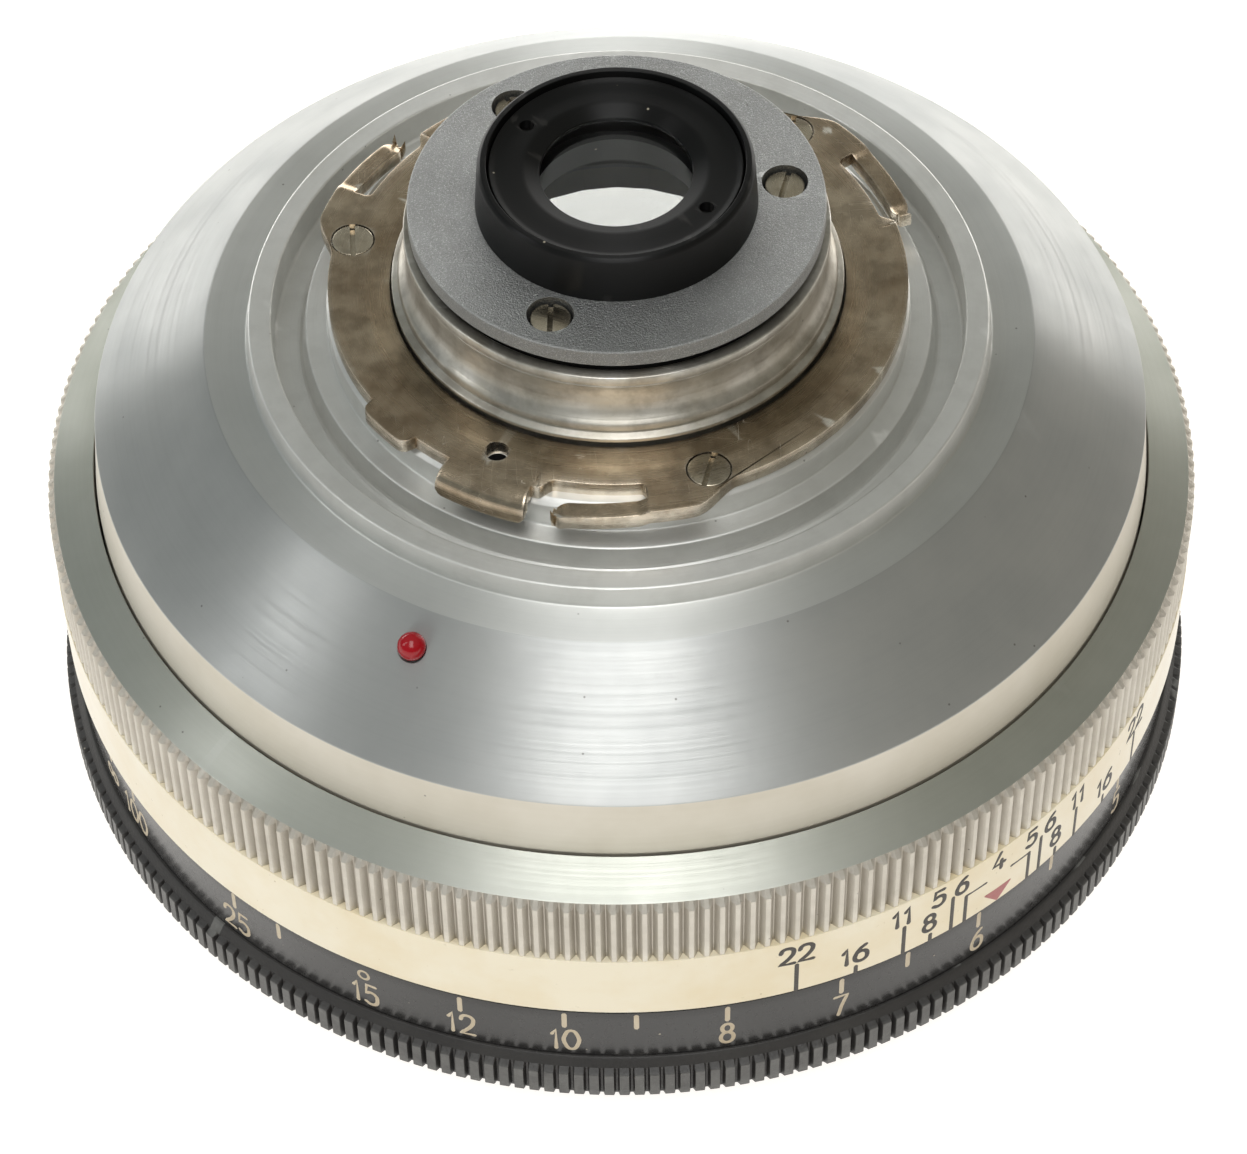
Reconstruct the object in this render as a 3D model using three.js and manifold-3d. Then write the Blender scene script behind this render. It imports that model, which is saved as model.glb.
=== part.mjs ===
// A front-mounted telephoto prime lens, standing on its front rim.
// Units are millimetres. The optical axis is Z, the front rim is at z = 0 and the rear mount is up.
import * as THREE from 'three';
import { mergeVertices } from 'three/addons/utils/BufferGeometryUtils.js';
import Module from 'manifold-3d';

const wasm = await Module();
wasm.setup();

// Driving dimensions: outer rings, as radius and height above the front rim.
const RING_SIDES = 36;            // facets round the outer rings, so that nested rings share facets
const NECK_SIDES = 32;            // facets round the neck, the rear disc and what they hold
const LENS_SIDES = 28;            // facets round the glass
const FIT = 0.1;                  // radial play of a screwed or sliding fit between fixed rings
const RUNNING_GAP = 0.2;          // play round the turning distance ring
const TEETH = 250;                // knurl teeth, the same pitch on both rings
const TOOTH_DEPTH = 0.42;
const SILVER_TIP_R = 34.0;
const BLACK_TIP_R = 34.62;
const SCALE_R = 34.05;            // painted depth-of-field band
const DIAL_R = 33.7;              // distance dial
const RIM_R = 32.9;               // front rim that the lens stands on
const RIM_HEIGHT = 1.15;
const BLACK_KNURL_Z = [1.45, 4.5];
const DIAL_TOP_Z = 9.0;
const SCALE_Z = [9.35, 14.31];
const SHOULDER_Z = [19.2, 20.3];
const BAND_Z = 20.35;
const CONE_Z = [24.28, 29.74];
const CONE_R = [30.67, 23.85];
const BAND_R = 31.02;

// Bores that the fixed rings share.
const FILTER_THREAD_R = 30.0;
const BARREL_BORE_R = 31.1;
const BARREL_R = 31.6;
const SKIRT_R = BARREL_BORE_R - FIT;
const SKIRT_BORE_R = 29.7;
const CELL_R = SKIRT_BORE_R - FIT;
const NECK_BORE_R = 11.1;
const NECK_FLANGE_R = 15.0;
const NECK_FLANGE_Z = [28.3, 29.9];
const NECK_R = 12.6;

// Rear mount.
const BOSS_TOP_Z = 32.5;
const PLATE_TOP_Z = 33.4;
const PLATE_BORE_R = 12.95;
const PLATE_R = 16.5;
const LUG_R = 17.85;
const LUG_ANGLES = [-72, 48, 168];
const PLATE_SCREW_R = 15.5;
const DISC_Z = [38.5, 39.55];
const DISC_R = 11.7;
const DISC_SCREW_R = 9.5;
const DISC_SCREW_ANGLES = [-113, 7, 127];
const REAR_TOP_Z = 42.5;
const REAR_APERTURE_R = 4.24;

// Red mounting mark on the cone.
const MARK_ANGLE = -116.8;
const MARK_R = 25.55;
const MARK_BEAD_R = 0.75;
const MARK_PIT_Z = 27.6;

// The distance ring turns between its stops from the pose shown, which faces 5.9 ft at the index.
const TURN_TO_NEAR_STOP = -21;
const TURN_TO_INFINITY = 103.5;
const STOP_PIN_ANGLE = 200;
const STOP_PIN_R = 0.7;
const STOP_PIN_Z = 3.0;

const radians = THREE.MathUtils.degToRad;
const points = (pairs) => pairs.map(([r, z]) => new THREE.Vector2(r, z));

// Materials, one for each finish.
const finish = (color, roughness, metalness, extra = {}) =>
  new THREE.MeshStandardMaterial({ color, roughness, metalness, ...extra });
const satinAluminium = finish(0xb4b7b6, 0.32, 1.0);
const blastedAluminium = finish(0x8e9194, 0.55, 1.0);
const tarnishedNickel = finish(0x8a7c69, 0.35, 1.0);
const neckNickel = finish(0x9c9b92, 0.3, 1.0);
const blackAnodised = finish(0x1d1d1e, 0.4, 0.3);
const blackLacquer = finish(0x242322, 0.2, 0.0);
const redEnamel = finish(0xa30d16, 0.2, 0.0);
const steel = finish(0xa09a8e, 0.3, 1.0);
const brass = finish(0xb08d4c, 0.35, 1.0);
const opticalGlass = finish(0xdfe6e4, 0.02, 0.0, { transparent: true, opacity: 0.35 });

// Welds a geometry by position and drops the faces that fold to nothing on the axis.
function weld(geometry) {
  const bare = geometry.clone();
  bare.deleteAttribute('normal');
  bare.deleteAttribute('uv');
  const welded = mergeVertices(bare, 1e-4);
  const index = welded.index.array;
  const kept = [];
  for (let i = 0; i < index.length; i += 3) {
    const [a, b, c] = [index[i], index[i + 1], index[i + 2]];
    if (a !== b && b !== c && c !== a) {
      kept.push(a, b, c);
    }
  }
  welded.setIndex(kept);
  return welded;
}

function solid(geometry) {
  const welded = weld(geometry);
  const mesh = new wasm.Mesh({
    numProp: 3,
    vertProperties: new Float32Array(welded.attributes.position.array),
    triVerts: new Uint32Array(welded.index.array),
  });
  return new wasm.Manifold(mesh);
}

function geometryOf(manifold) {
  const mesh = manifold.getMesh();
  const geometry = new THREE.BufferGeometry();
  geometry.setAttribute('position', new THREE.BufferAttribute(new Float32Array(mesh.vertProperties), 3));
  geometry.setIndex(new THREE.BufferAttribute(new Uint32Array(mesh.triVerts), 1));
  return geometry;
}

// A ring or disc turned round Z from a closed outline of [radius, z] points, outer side upwards.
function turned(outline, sides = RING_SIDES) {
  const closedOutline = outline[0][0] === 0 ? outline : [...outline, outline[0]];
  const geometry = new THREE.LatheGeometry(points(closedOutline), sides);
  geometry.rotateX(Math.PI / 2);
  return weld(geometry);
}

// A flat sector between two radii and two angles in degrees, from z0 up to z1.
function sector(r0, r1, from, to, z0, z1) {
  const shape = new THREE.Shape();
  shape.absarc(0, 0, r1, radians(from), radians(to), false);
  shape.absarc(0, 0, r0, radians(to), radians(from), true);
  const steps = Math.max(2, Math.ceil((to - from) / 6));
  const options = { depth: z1 - z0, bevelEnabled: false, curveSegments: steps };
  return new THREE.ExtrudeGeometry(shape, options).translate(0, 0, z0);
}

// A round rod along Z, at a radius and angle from the axis.
function rod(rodRadius, radius, angle, z0, z1, sides = 16) {
  const geometry = new THREE.CylinderGeometry(rodRadius, rodRadius, z1 - z0, sides);
  geometry.rotateX(Math.PI / 2);
  const x = radius * Math.cos(radians(angle));
  const y = radius * Math.sin(radians(angle));
  return geometry.translate(x, y, (z0 + z1) / 2);
}

// A round rod pointing away from the axis at a height, between two radii.
function radialRod(rodRadius, angle, z, r0, r1) {
  const geometry = new THREE.CylinderGeometry(rodRadius, rodRadius, r1 - r0, 12);
  geometry.rotateZ(-Math.PI / 2);
  geometry.translate((r0 + r1) / 2, 0, 0);
  geometry.rotateZ(radians(angle));
  return geometry.translate(0, 0, z);
}

// A ring with V-cut teeth round its outside.
function toothedRing(tipRadius, boreRadius, z0, z1) {
  const shape = new THREE.Shape();
  for (let i = 0; i < 2 * TEETH; i += 1) {
    const angle = (i * Math.PI) / TEETH;
    const radius = i % 2 === 0 ? tipRadius : tipRadius - TOOTH_DEPTH;
    const x = radius * Math.cos(angle);
    const y = radius * Math.sin(angle);
    if (i === 0) {
      shape.moveTo(x, y);
    } else {
      shape.lineTo(x, y);
    }
  }
  shape.closePath();
  const bore = new THREE.Path();
  const boreCorners = [];
  for (let i = 0; i < RING_SIDES; i += 1) {
    const angle = (i * 2 * Math.PI) / RING_SIDES;
    boreCorners.push(new THREE.Vector2(boreRadius * Math.cos(angle), boreRadius * Math.sin(angle)));
  }
  bore.setFromPoints(boreCorners);
  shape.holes.push(bore);
  const options = { depth: z1 - z0, bevelEnabled: false };
  return new THREE.ExtrudeGeometry(shape, options).translate(0, 0, z0);
}

// A lens element. Each surface is [vertex z, radius of curvature]; the radius is positive when the
// centre of curvature lies towards +Z. A flat annulus joins a surface to the edge past its clear radius.
function lensElement(edgeRadius, front, rear, frontClear = edgeRadius, rearClear = edgeRadius) {
  const steps = 3;
  const height = ([vertex, curvature], r) =>
    vertex + curvature - Math.sign(curvature) * Math.sqrt(curvature * curvature - r * r);
  const outline = [];
  for (let i = 0; i <= steps; i += 1) {
    const r = (frontClear * i) / steps;
    outline.push([r, height(front, r)]);
  }
  if (frontClear < edgeRadius) {
    outline.push([edgeRadius, height(front, frontClear)]);
  }
  if (rearClear < edgeRadius) {
    outline.push([edgeRadius, height(rear, rearClear)]);
  }
  for (let i = steps; i >= 0; i -= 1) {
    const r = (rearClear * i) / steps;
    outline.push([r, height(rear, r)]);
  }
  return turned(outline, LENS_SIDES);
}

// A slotted cheese-head screw pointing down, with its head top at z.
function screw(headRadius, headHeight, shankRadius, length, radius, angle, z, slotTurn) {
  const head = solid(rod(headRadius, 0, 0, z - headHeight, z, 16));
  const shank = solid(rod(shankRadius, 0, 0, z - length, z - headHeight + 0.1, 10));
  const slot = new THREE.BoxGeometry(3 * headRadius, 0.42, 0.7);
  slot.rotateZ(radians(slotTurn));
  slot.translate(0, 0, z);
  const body = geometryOf(head.add(shank).subtract(solid(slot)));
  return body.translate(radius * Math.cos(radians(angle)), radius * Math.sin(radians(angle)), 0);
}

const lens = new THREE.Group();

function place(parent, name, geometry, material) {
  const mesh = new THREE.Mesh(geometry, material);
  mesh.name = name;
  parent.add(mesh);
}

// Front rim with the 60 mm filter thread. It screws into the front barrel and keeps the distance ring on.
place(lens, 'filter_rim', turned([
  [FILTER_THREAD_R + 0.3, 0],
  [RIM_R - 0.3, 0],
  [RIM_R, 0.3],
  [RIM_R, RIM_HEIGHT],
  [SKIRT_R, RIM_HEIGHT],
  [SKIRT_R, 6.0],
  [FILTER_THREAD_R, 6.0],
  [FILTER_THREAD_R, 0.3],
]), blackAnodised);

// Front barrel: the tube that the distance ring turns on, with a slot for the stop pin.
const barrelTube = solid(turned([
  [BARREL_BORE_R, 1.25],
  [BARREL_R, 1.25],
  [BARREL_R, 16.0],
  [BARREL_BORE_R, 16.0],
]));
const stopSlotPlay = 1.9;         // degrees past each stop: the pin's own half width and a little play
const stopSlot = solid(sector(
  BARREL_BORE_R - 0.5,
  BARREL_R + 0.5,
  STOP_PIN_ANGLE + TURN_TO_NEAR_STOP - stopSlotPlay,
  STOP_PIN_ANGLE + TURN_TO_INFINITY + stopSlotPlay,
  STOP_PIN_Z - STOP_PIN_R - 0.3,
  STOP_PIN_Z + STOP_PIN_R + 0.3,
));
place(lens, 'front_barrel', geometryOf(barrelTube.subtract(stopSlot)), blackAnodised);

// Distance ring: the dial sleeve, the knurled ring screwed over it and the stop pin turn together.
const distanceRing = new THREE.Group();
lens.add(distanceRing);

const sleeveBore = BARREL_R + RUNNING_GAP;
const sleeveNeckR = 33.0;
const dialSleeve = solid(turned([
  [sleeveBore, BLACK_KNURL_Z[0]],
  [sleeveNeckR, BLACK_KNURL_Z[0]],
  [sleeveNeckR, BLACK_KNURL_Z[1]],
  [DIAL_R, BLACK_KNURL_Z[1]],
  [DIAL_R, DIAL_TOP_Z - 0.2],
  [DIAL_R - 0.2, DIAL_TOP_Z],
  [sleeveBore, DIAL_TOP_Z],
]));
const pinHole = solid(radialRod(STOP_PIN_R + 0.2, STOP_PIN_ANGLE, STOP_PIN_Z, 31, 33.5));
place(distanceRing, 'distance_dial', geometryOf(dialSleeve.subtract(pinHole)), blackLacquer);

const knurlBore = sleeveNeckR + FIT;
const knurlBlank = solid(turned([
  [knurlBore - 1, BLACK_KNURL_Z[0] - 1],
  [BLACK_TIP_R + 1, BLACK_KNURL_Z[0] - 1],
  [BLACK_TIP_R + 1, BLACK_KNURL_Z[1] - 1.0],
  [BLACK_TIP_R - 0.6, BLACK_KNURL_Z[1]],
  [knurlBore - 1, BLACK_KNURL_Z[1]],
]));
const blackTeeth = solid(toothedRing(BLACK_TIP_R, knurlBore, BLACK_KNURL_Z[0], BLACK_KNURL_Z[1]));
place(distanceRing, 'distance_grip_ring', geometryOf(blackTeeth.intersect(knurlBlank)), blackAnodised);

place(distanceRing, 'stop_pin', weld(radialRod(
  STOP_PIN_R,
  STOP_PIN_ANGLE,
  STOP_PIN_Z,
  BARREL_BORE_R + 0.15,
  sleeveNeckR - 0.15,
)), steel);

// Wave spring between the distance ring and the grip ring, which gives the ring its drag.
const springRecess = [32.95, 10.4];
const waveSpring = turned([[31.9, 9.6], [32.7, 9.6], [32.7, 9.85], [31.9, 9.85]]);
const springVertices = waveSpring.attributes.position;
for (let i = 0; i < springVertices.count; i += 1) {
  const angle = Math.atan2(springVertices.getY(i), springVertices.getX(i));
  springVertices.setZ(i, springVertices.getZ(i) + 0.4 * Math.sin(4 * angle));
}
place(lens, 'drag_spring', waveSpring, steel);

// Grip ring: the shoulder, the silver knurl and the painted depth-of-field band are one turned piece.
const shoulderR = SILVER_TIP_R - TOOTH_DEPTH - 0.18;
const gripBody = solid(turned([
  [springRecess[0], SCALE_Z[0]],
  [SCALE_R, SCALE_Z[0]],
  [SCALE_R, SCALE_Z[1]],
  [shoulderR, SCALE_Z[1]],
  [shoulderR, SHOULDER_Z[0]],
  [SKIRT_R + FIT, SHOULDER_Z[1]],
  [SKIRT_R + FIT, 16.3],
  [BARREL_R + FIT, 16.3],
  [BARREL_R + FIT, springRecess[1]],
  [springRecess[0], springRecess[1]],
], 2 * RING_SIDES));
const silverTeeth = solid(toothedRing(SILVER_TIP_R, 32.6, SCALE_Z[1], SHOULDER_Z[0] - 0.25));
place(lens, 'grip_ring', geometryOf(gripBody.add(silverTeeth)), satinAluminium);

// Rear housing: skirt, straight band, cone, seat and the stepped boss that carries the bayonet plate.
const boss = {
  seatR: 21.4,
  rimR: [19.9, 21.2],
  rimZ: 31.07,
  floorR: 18.2,
  floorZ: 29.1,
  stepZ: 30.6,
  padR: 16.65,
  boreR: 12.92,
  neckSeatR: 15.25,
  ceilingZ: 27.6,
};
const housingBlank = solid(turned([
  [SKIRT_R, 8.0],
  [SKIRT_R, BAND_Z],
  [BAND_R, BAND_Z],
  [CONE_R[0], CONE_Z[0]],
  [CONE_R[1], CONE_Z[1]],
  [boss.seatR, CONE_Z[1]],
  [boss.rimR[1], boss.rimZ],
  [boss.rimR[0], boss.rimZ],
  [boss.rimR[0], boss.floorZ],
  [boss.floorR, boss.floorZ],
  [boss.floorR - 0.25, boss.stepZ],
  [boss.padR, boss.stepZ],
  [boss.padR, BOSS_TOP_Z - 0.35],
  [boss.padR - 0.4, BOSS_TOP_Z],
  [boss.boreR, BOSS_TOP_Z],
  [boss.boreR, NECK_FLANGE_Z[1] + FIT],
  [boss.neckSeatR, NECK_FLANGE_Z[1] + FIT],
  [boss.neckSeatR, boss.ceilingZ],
  [22.3, boss.ceilingZ],
  [28.6, 22.6],
  [SKIRT_BORE_R, 21.5],
  [SKIRT_BORE_R, 8.0],
]));
let housing = housingBlank.subtract(solid(rod(MARK_BEAD_R + 0.15, MARK_R, MARK_ANGLE, MARK_PIT_Z, 31, 12)));
for (const angle of LUG_ANGLES) {
  housing = housing.subtract(solid(rod(0.75, PLATE_SCREW_R, angle, 30.4, 33, 10)));
}
place(lens, 'rear_housing', geometryOf(housing), satinAluminium);

// Domed bead of red enamel in the hole of the cone.
const bead = new THREE.SphereGeometry(MARK_BEAD_R, 12, 7);
bead.rotateX(Math.PI / 2);
bead.scale(1, 1, 0.9);
bead.translate(
  MARK_R * Math.cos(radians(MARK_ANGLE)),
  MARK_R * Math.sin(radians(MARK_ANGLE)),
  MARK_PIT_Z + MARK_BEAD_R,
);
place(lens, 'mount_mark', weld(bead), redEnamel);

// Neck: a flange inside the boss, and the turned tube that stands up through the bayonet plate.
place(lens, 'neck_tube', turned([
  [NECK_BORE_R, NECK_FLANGE_Z[0]],
  [NECK_FLANGE_R, NECK_FLANGE_Z[0]],
  [NECK_FLANGE_R, NECK_FLANGE_Z[1]],
  [NECK_R, NECK_FLANGE_Z[1]],
  [NECK_R, PLATE_TOP_Z + FIT],
  [12.85, 33.55],
  [12.85, 33.8],
  [12.4, 33.95],
  [12.35, 34.5],
  [11.8, 35.4],
  [11.75, 36.4],
  [12.0, 37.05],
  [12.0, 37.8],
  [NECK_BORE_R, 37.8],
], NECK_SIDES), neckNickel);
const neckLock = { boreR: 13.7, outerR: 15.1, z: [27.75, 28.25] };
place(lens, 'neck_lock_ring', turned([
  [neckLock.boreR, neckLock.z[0]],
  [neckLock.outerR, neckLock.z[0]],
  [neckLock.outerR, neckLock.z[1]],
  [neckLock.boreR, neckLock.z[1]],
], NECK_SIDES), brass);

// Bayonet plate: a ring with three lugs, each with its screw at one end and a spring tongue.
const platePunch = [BOSS_TOP_Z - 1, PLATE_TOP_Z + 1];
const tongue = { inner: 16.75, slotInner: 15.75, root: -13.3, tip: -30.3, notch: -34.4, drop: 0.6 };
let plate = solid(turned([
  [PLATE_BORE_R, BOSS_TOP_Z],
  [PLATE_R, BOSS_TOP_Z],
  [PLATE_R, PLATE_TOP_Z],
  [PLATE_BORE_R, PLATE_TOP_Z],
]));
for (const screwAngle of LUG_ANGLES) {
  const lug = sector(15, LUG_R, screwAngle + tongue.tip, screwAngle + 1, BOSS_TOP_Z, PLATE_TOP_Z);
  const slot = sector(
    tongue.slotInner,
    tongue.inner,
    screwAngle + tongue.notch,
    screwAngle + tongue.root,
    ...platePunch,
  );
  const notch = sector(
    tongue.slotInner,
    LUG_R + 1,
    screwAngle + tongue.notch,
    screwAngle + tongue.tip,
    ...platePunch,
  );
  const heel = sector(15, LUG_R - 0.7, screwAngle, screwAngle + 5, BOSS_TOP_Z, PLATE_TOP_Z);
  plate = plate.add(solid(lug)).add(solid(heel)).subtract(solid(slot)).subtract(solid(notch));
  plate = plate.subtract(solid(rod(1.33, PLATE_SCREW_R, screwAngle, ...platePunch, 16)));
}
// The first lug ends in a claw that is bent down; a short plain lug stands further round.
const claw = sector(15.5, LUG_R, -124.7, -107.4, BOSS_TOP_Z, PLATE_TOP_Z);
const clawLip = sector(LUG_R - 0.75, LUG_R, -124.7, -107.4, PLATE_TOP_Z - 1.5, PLATE_TOP_Z);
const shortLug = sector(15.5, 17.1, -146.5, -133, BOSS_TOP_Z, PLATE_TOP_Z);
plate = plate.add(solid(claw)).add(solid(clawLip)).add(solid(shortLug));
plate = plate.subtract(solid(rod(0.7, 14.8, -117.3, ...platePunch, 14)));
const plateGeometry = geometryOf(plate);
// The free ends of the tongues spring down towards the camera's bayonet.
const plateVertices = plateGeometry.attributes.position;
for (let i = 0; i < plateVertices.count; i += 1) {
  const x = plateVertices.getX(i);
  const y = plateVertices.getY(i);
  const radius = Math.hypot(x, y);
  const angle = THREE.MathUtils.radToDeg(Math.atan2(y, x));
  for (const screwAngle of LUG_ANGLES) {
    const along = (angle - screwAngle - tongue.root) / (tongue.tip - tongue.root);
    if (radius > tongue.inner - 0.05 && along > 0 && along < 1.01) {
      plateVertices.setZ(i, plateVertices.getZ(i) - tongue.drop * along);
    }
  }
}
place(lens, 'bayonet_plate', plateGeometry, tarnishedNickel);
LUG_ANGLES.forEach((angle, i) => {
  const head = screw(1.2, 0.75, 0.55, 2.7, PLATE_SCREW_R, angle, PLATE_TOP_Z, 75 + 9 * i);
  place(lens, `plate_screw_${i + 1}`, head, steel);
});

// Rear disc on its carrier ring, held by three sunk screws.
const carrierBore = 6.75;
let carrier = solid(turned([
  [carrierBore, 34.0],
  [NECK_BORE_R - FIT - 0.1, 34.0],
  [NECK_BORE_R - FIT - 0.1, DISC_Z[0]],
  [carrierBore, DISC_Z[0]],
], NECK_SIDES));
let disc = solid(turned([
  [carrierBore, DISC_Z[0]],
  [DISC_R, DISC_Z[0]],
  [DISC_R, DISC_Z[1] - 0.1],
  [DISC_R - 0.1, DISC_Z[1]],
  [carrierBore, DISC_Z[1]],
], NECK_SIDES));
for (const angle of DISC_SCREW_ANGLES) {
  carrier = carrier.subtract(solid(rod(0.75, DISC_SCREW_R, angle, 36.0, 39, 10)));
  disc = disc.subtract(solid(rod(1.3, DISC_SCREW_R, angle, 38, 40, 16)));
}
place(lens, 'disc_carrier', geometryOf(carrier), blackAnodised);
place(lens, 'rear_disc', geometryOf(disc), blastedAluminium);
DISC_SCREW_ANGLES.forEach((angle, i) => {
  const head = screw(1.12, 0.6, 0.55, 2.7, DISC_SCREW_R, angle, DISC_Z[1] - 0.38, 35 + 40 * i);
  place(lens, `disc_screw_${i + 1}`, head, steel);
});

// Rear cell with its element and the lock ring that has two spanner holes.
const cell = { spigotZ: 34.5, stepZ: 37.9, seatZ: 41.1, stepR: 4.6, glassR: 5.35, ringR: 7.15, flangeR: 7.9 };
place(lens, 'rear_cell', turned([
  [cell.stepR, cell.spigotZ],
  [carrierBore - FIT, cell.spigotZ],
  [carrierBore - FIT, DISC_Z[1]],
  [cell.flangeR, DISC_Z[1]],
  [cell.flangeR - 0.22, REAR_TOP_Z - 0.15],
  [cell.flangeR - 0.35, REAR_TOP_Z],
  [cell.ringR, REAR_TOP_Z],
  [cell.ringR, cell.seatZ],
  [cell.glassR, cell.seatZ],
  [cell.glassR, cell.stepZ],
  [cell.stepR, cell.stepZ],
], NECK_SIDES), blackAnodised);
const lockZ = [cell.seatZ + 0.1, 42.2];
const apertureZ = [41.45, 41.7];
const apertureConeR = 5.1;
let lockRing = solid(turned([
  [REAR_APERTURE_R, apertureZ[0]],
  [apertureConeR, lockZ[0]],
  [cell.ringR - FIT, lockZ[0]],
  [cell.ringR - FIT, lockZ[1]],
  [apertureConeR, lockZ[1]],
  [REAR_APERTURE_R, apertureZ[1]],
], NECK_SIDES));
const spannerHoleR = 5.95;
for (const angle of [146, -34]) {
  lockRing = lockRing.subtract(solid(rod(0.42, spannerHoleR, angle, 41.6, 43, 12)));
}
place(lens, 'rear_lock_ring', geometryOf(lockRing), blackAnodised);

// Rear element: a thick glass whose wide end rests on the cell's step and whose narrow end reaches down.
const rearGlass = { frontZ: 34.7, stepZ: 38.0, wideR: 5.2, narrowR: 4.5 };
const rearGlassTop = lensElement(rearGlass.wideR, [rearGlass.stepZ - 0.3, 1e4], [41.3, -42]);
const rearGlassBottom = rod(rearGlass.narrowR, 0, 0, rearGlass.frontZ, rearGlass.stepZ, LENS_SIDES);
const rearGlassStep = rod(rearGlass.wideR + 1, 0, 0, rearGlass.frontZ, rearGlass.stepZ, LENS_SIDES);
place(lens, 'rear_element', geometryOf(
  solid(rearGlassTop).subtract(solid(rearGlassStep)).add(solid(rearGlassBottom)),
), opticalGlass);

// Inner barrel: holds the third and fourth elements between the front cell and the neck.
const innerFlange = [17.5, 19.2];
const innerTopZ = 33.0;
place(lens, 'inner_barrel', turned([
  [19.8, innerFlange[0]],
  [CELL_R, innerFlange[0]],
  [CELL_R, innerFlange[1]],
  [21.6, innerFlange[1]],
  [21.6, 25.2],
  [14.6, 27.35],
  [NECK_BORE_R - 0.25, 28.15],
  [NECK_BORE_R - 0.25, innerTopZ],
  [9.8, innerTopZ],
  [9.8, 28.6],
  [9.0, 28.6],
  [9.0, 27.4],
  [18.2, 25.0],
  [19.8, 25.0],
]), blackAnodised);
place(lens, 'third_element', lensElement(19.6, [18.2, 45], [22.0, 70]), opticalGlass);
place(lens, 'third_element_ring', turned([
  [18.6, 20.3],
  [19.7, 20.3],
  [19.7, 22.1],
  [18.6, 22.1],
], NECK_SIDES), blackAnodised);
place(lens, 'fourth_element', lensElement(9.6, [28.9, 150], [31.6, 60]), opticalGlass);
place(lens, 'fourth_element_ring', turned([
  [9.1, 32.45],
  [9.7, 32.45],
  [9.7, innerTopZ],
  [9.1, innerTopZ],
], NECK_SIDES), brass);

// Front cell with the cemented pair of elements and their retaining ring.
const cellBore = 25.2;
place(lens, 'front_cell', turned([
  [cellBore, 6.6],
  [CELL_R, 6.6],
  [CELL_R, innerFlange[0]],
  [23.6, innerFlange[0]],
  [23.6, 15.75],
  [cellBore, 15.75],
]), blackAnodised);
place(lens, 'front_element', lensElement(25.0, [4.6, 62], [14.8, -90]), opticalGlass);
place(lens, 'second_element', lensElement(25.0, [14.85, -90], [17.1, -200]), opticalGlass);
place(lens, 'front_retaining_ring', turned([
  [24.0, 7.0],
  [cellBore - FIT, 7.0],
  [cellBore - FIT, 9.1],
  [24.0, 9.1],
]), blackAnodised);

// Plain name ring: the sloping bezel round the front glass.
place(lens, 'name_ring', turned([
  [24.4, 6.2],
  [FILTER_THREAD_R - 0.3, 4.8],
  [FILTER_THREAD_R - 0.3, 6.5],
  [24.4, 6.5],
]), blackAnodised);

export default lens;
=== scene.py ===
"""Looks for a prime camera lens that stands on its front rim, rear mount up."""
import math

import bmesh
import bpy
from mathutils import Matrix, Vector


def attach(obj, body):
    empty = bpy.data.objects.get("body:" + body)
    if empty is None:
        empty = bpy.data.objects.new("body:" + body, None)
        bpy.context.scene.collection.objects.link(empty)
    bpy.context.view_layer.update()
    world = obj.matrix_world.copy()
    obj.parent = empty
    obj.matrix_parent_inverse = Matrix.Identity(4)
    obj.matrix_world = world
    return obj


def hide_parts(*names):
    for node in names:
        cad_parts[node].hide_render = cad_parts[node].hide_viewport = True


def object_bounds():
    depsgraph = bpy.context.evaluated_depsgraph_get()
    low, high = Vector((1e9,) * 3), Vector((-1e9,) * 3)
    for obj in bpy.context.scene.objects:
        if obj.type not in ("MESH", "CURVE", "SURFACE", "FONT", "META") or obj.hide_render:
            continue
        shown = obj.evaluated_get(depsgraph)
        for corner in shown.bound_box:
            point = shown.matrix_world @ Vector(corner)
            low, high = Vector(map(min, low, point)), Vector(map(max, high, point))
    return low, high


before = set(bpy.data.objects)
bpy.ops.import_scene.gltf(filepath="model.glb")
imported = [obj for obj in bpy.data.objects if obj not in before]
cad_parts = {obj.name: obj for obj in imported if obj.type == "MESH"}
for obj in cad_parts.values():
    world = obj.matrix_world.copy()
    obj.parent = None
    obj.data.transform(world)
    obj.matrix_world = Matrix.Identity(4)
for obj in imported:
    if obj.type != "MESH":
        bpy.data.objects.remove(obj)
cad_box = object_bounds()

MM = 0.001
TAU = 2.0 * math.pi
AXIS = (0.0, 0.0, 1.0)
ORIGIN = (0.0, 0.0, 0.0)
LENS_MIDDLE = (0.0, 0.0, 0.02)

# Heights and radii that several pieces share, in millimetres.
SILVER_TIP_R = 34.0
BLACK_TIP_R = 34.62
SCALE_R = 34.05
DIAL_R = 33.7
TEETH = 250
TOOTH_PITCH = TAU / TEETH
TOOTH_DEGREES = 360.0 / TEETH
PLATE_TOP_Z = 33.4
PLATE_THICKNESS = 0.9
PLATE_SCREW_R = 15.5
LUG_ANGLES = (-72.0, 48.0, 168.0)
PLATE_HOLE_R = 14.8
PLATE_HOLE_ANGLE = -117.3
DISC_TOP_Z = 39.55
DISC_SCREW_R = 9.5
DISC_SCREW_ANGLES = (-113.0, 7.0, 127.0)
SPANNER_HOLE_ANGLES = (146.0, -34.0)
SLOT_WIDTH = 0.3
GLASS_NARROW_R = 4.5
GLASS_STEP_Z = 38.0
GLASS_STEPS, GLASS_LINE_STEPS = 96, 14
MARK_ANGLE = -116.8
MARK_R = 25.55
MARK_Z = 28.35
MARK_BEAD_R = 0.8

# How far apart the loops of a turned piece may be, and the most loops an edge of its outline is cut into.
LONGEST_EDGE = 0.8
LONGEST_CUTS = 7
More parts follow.
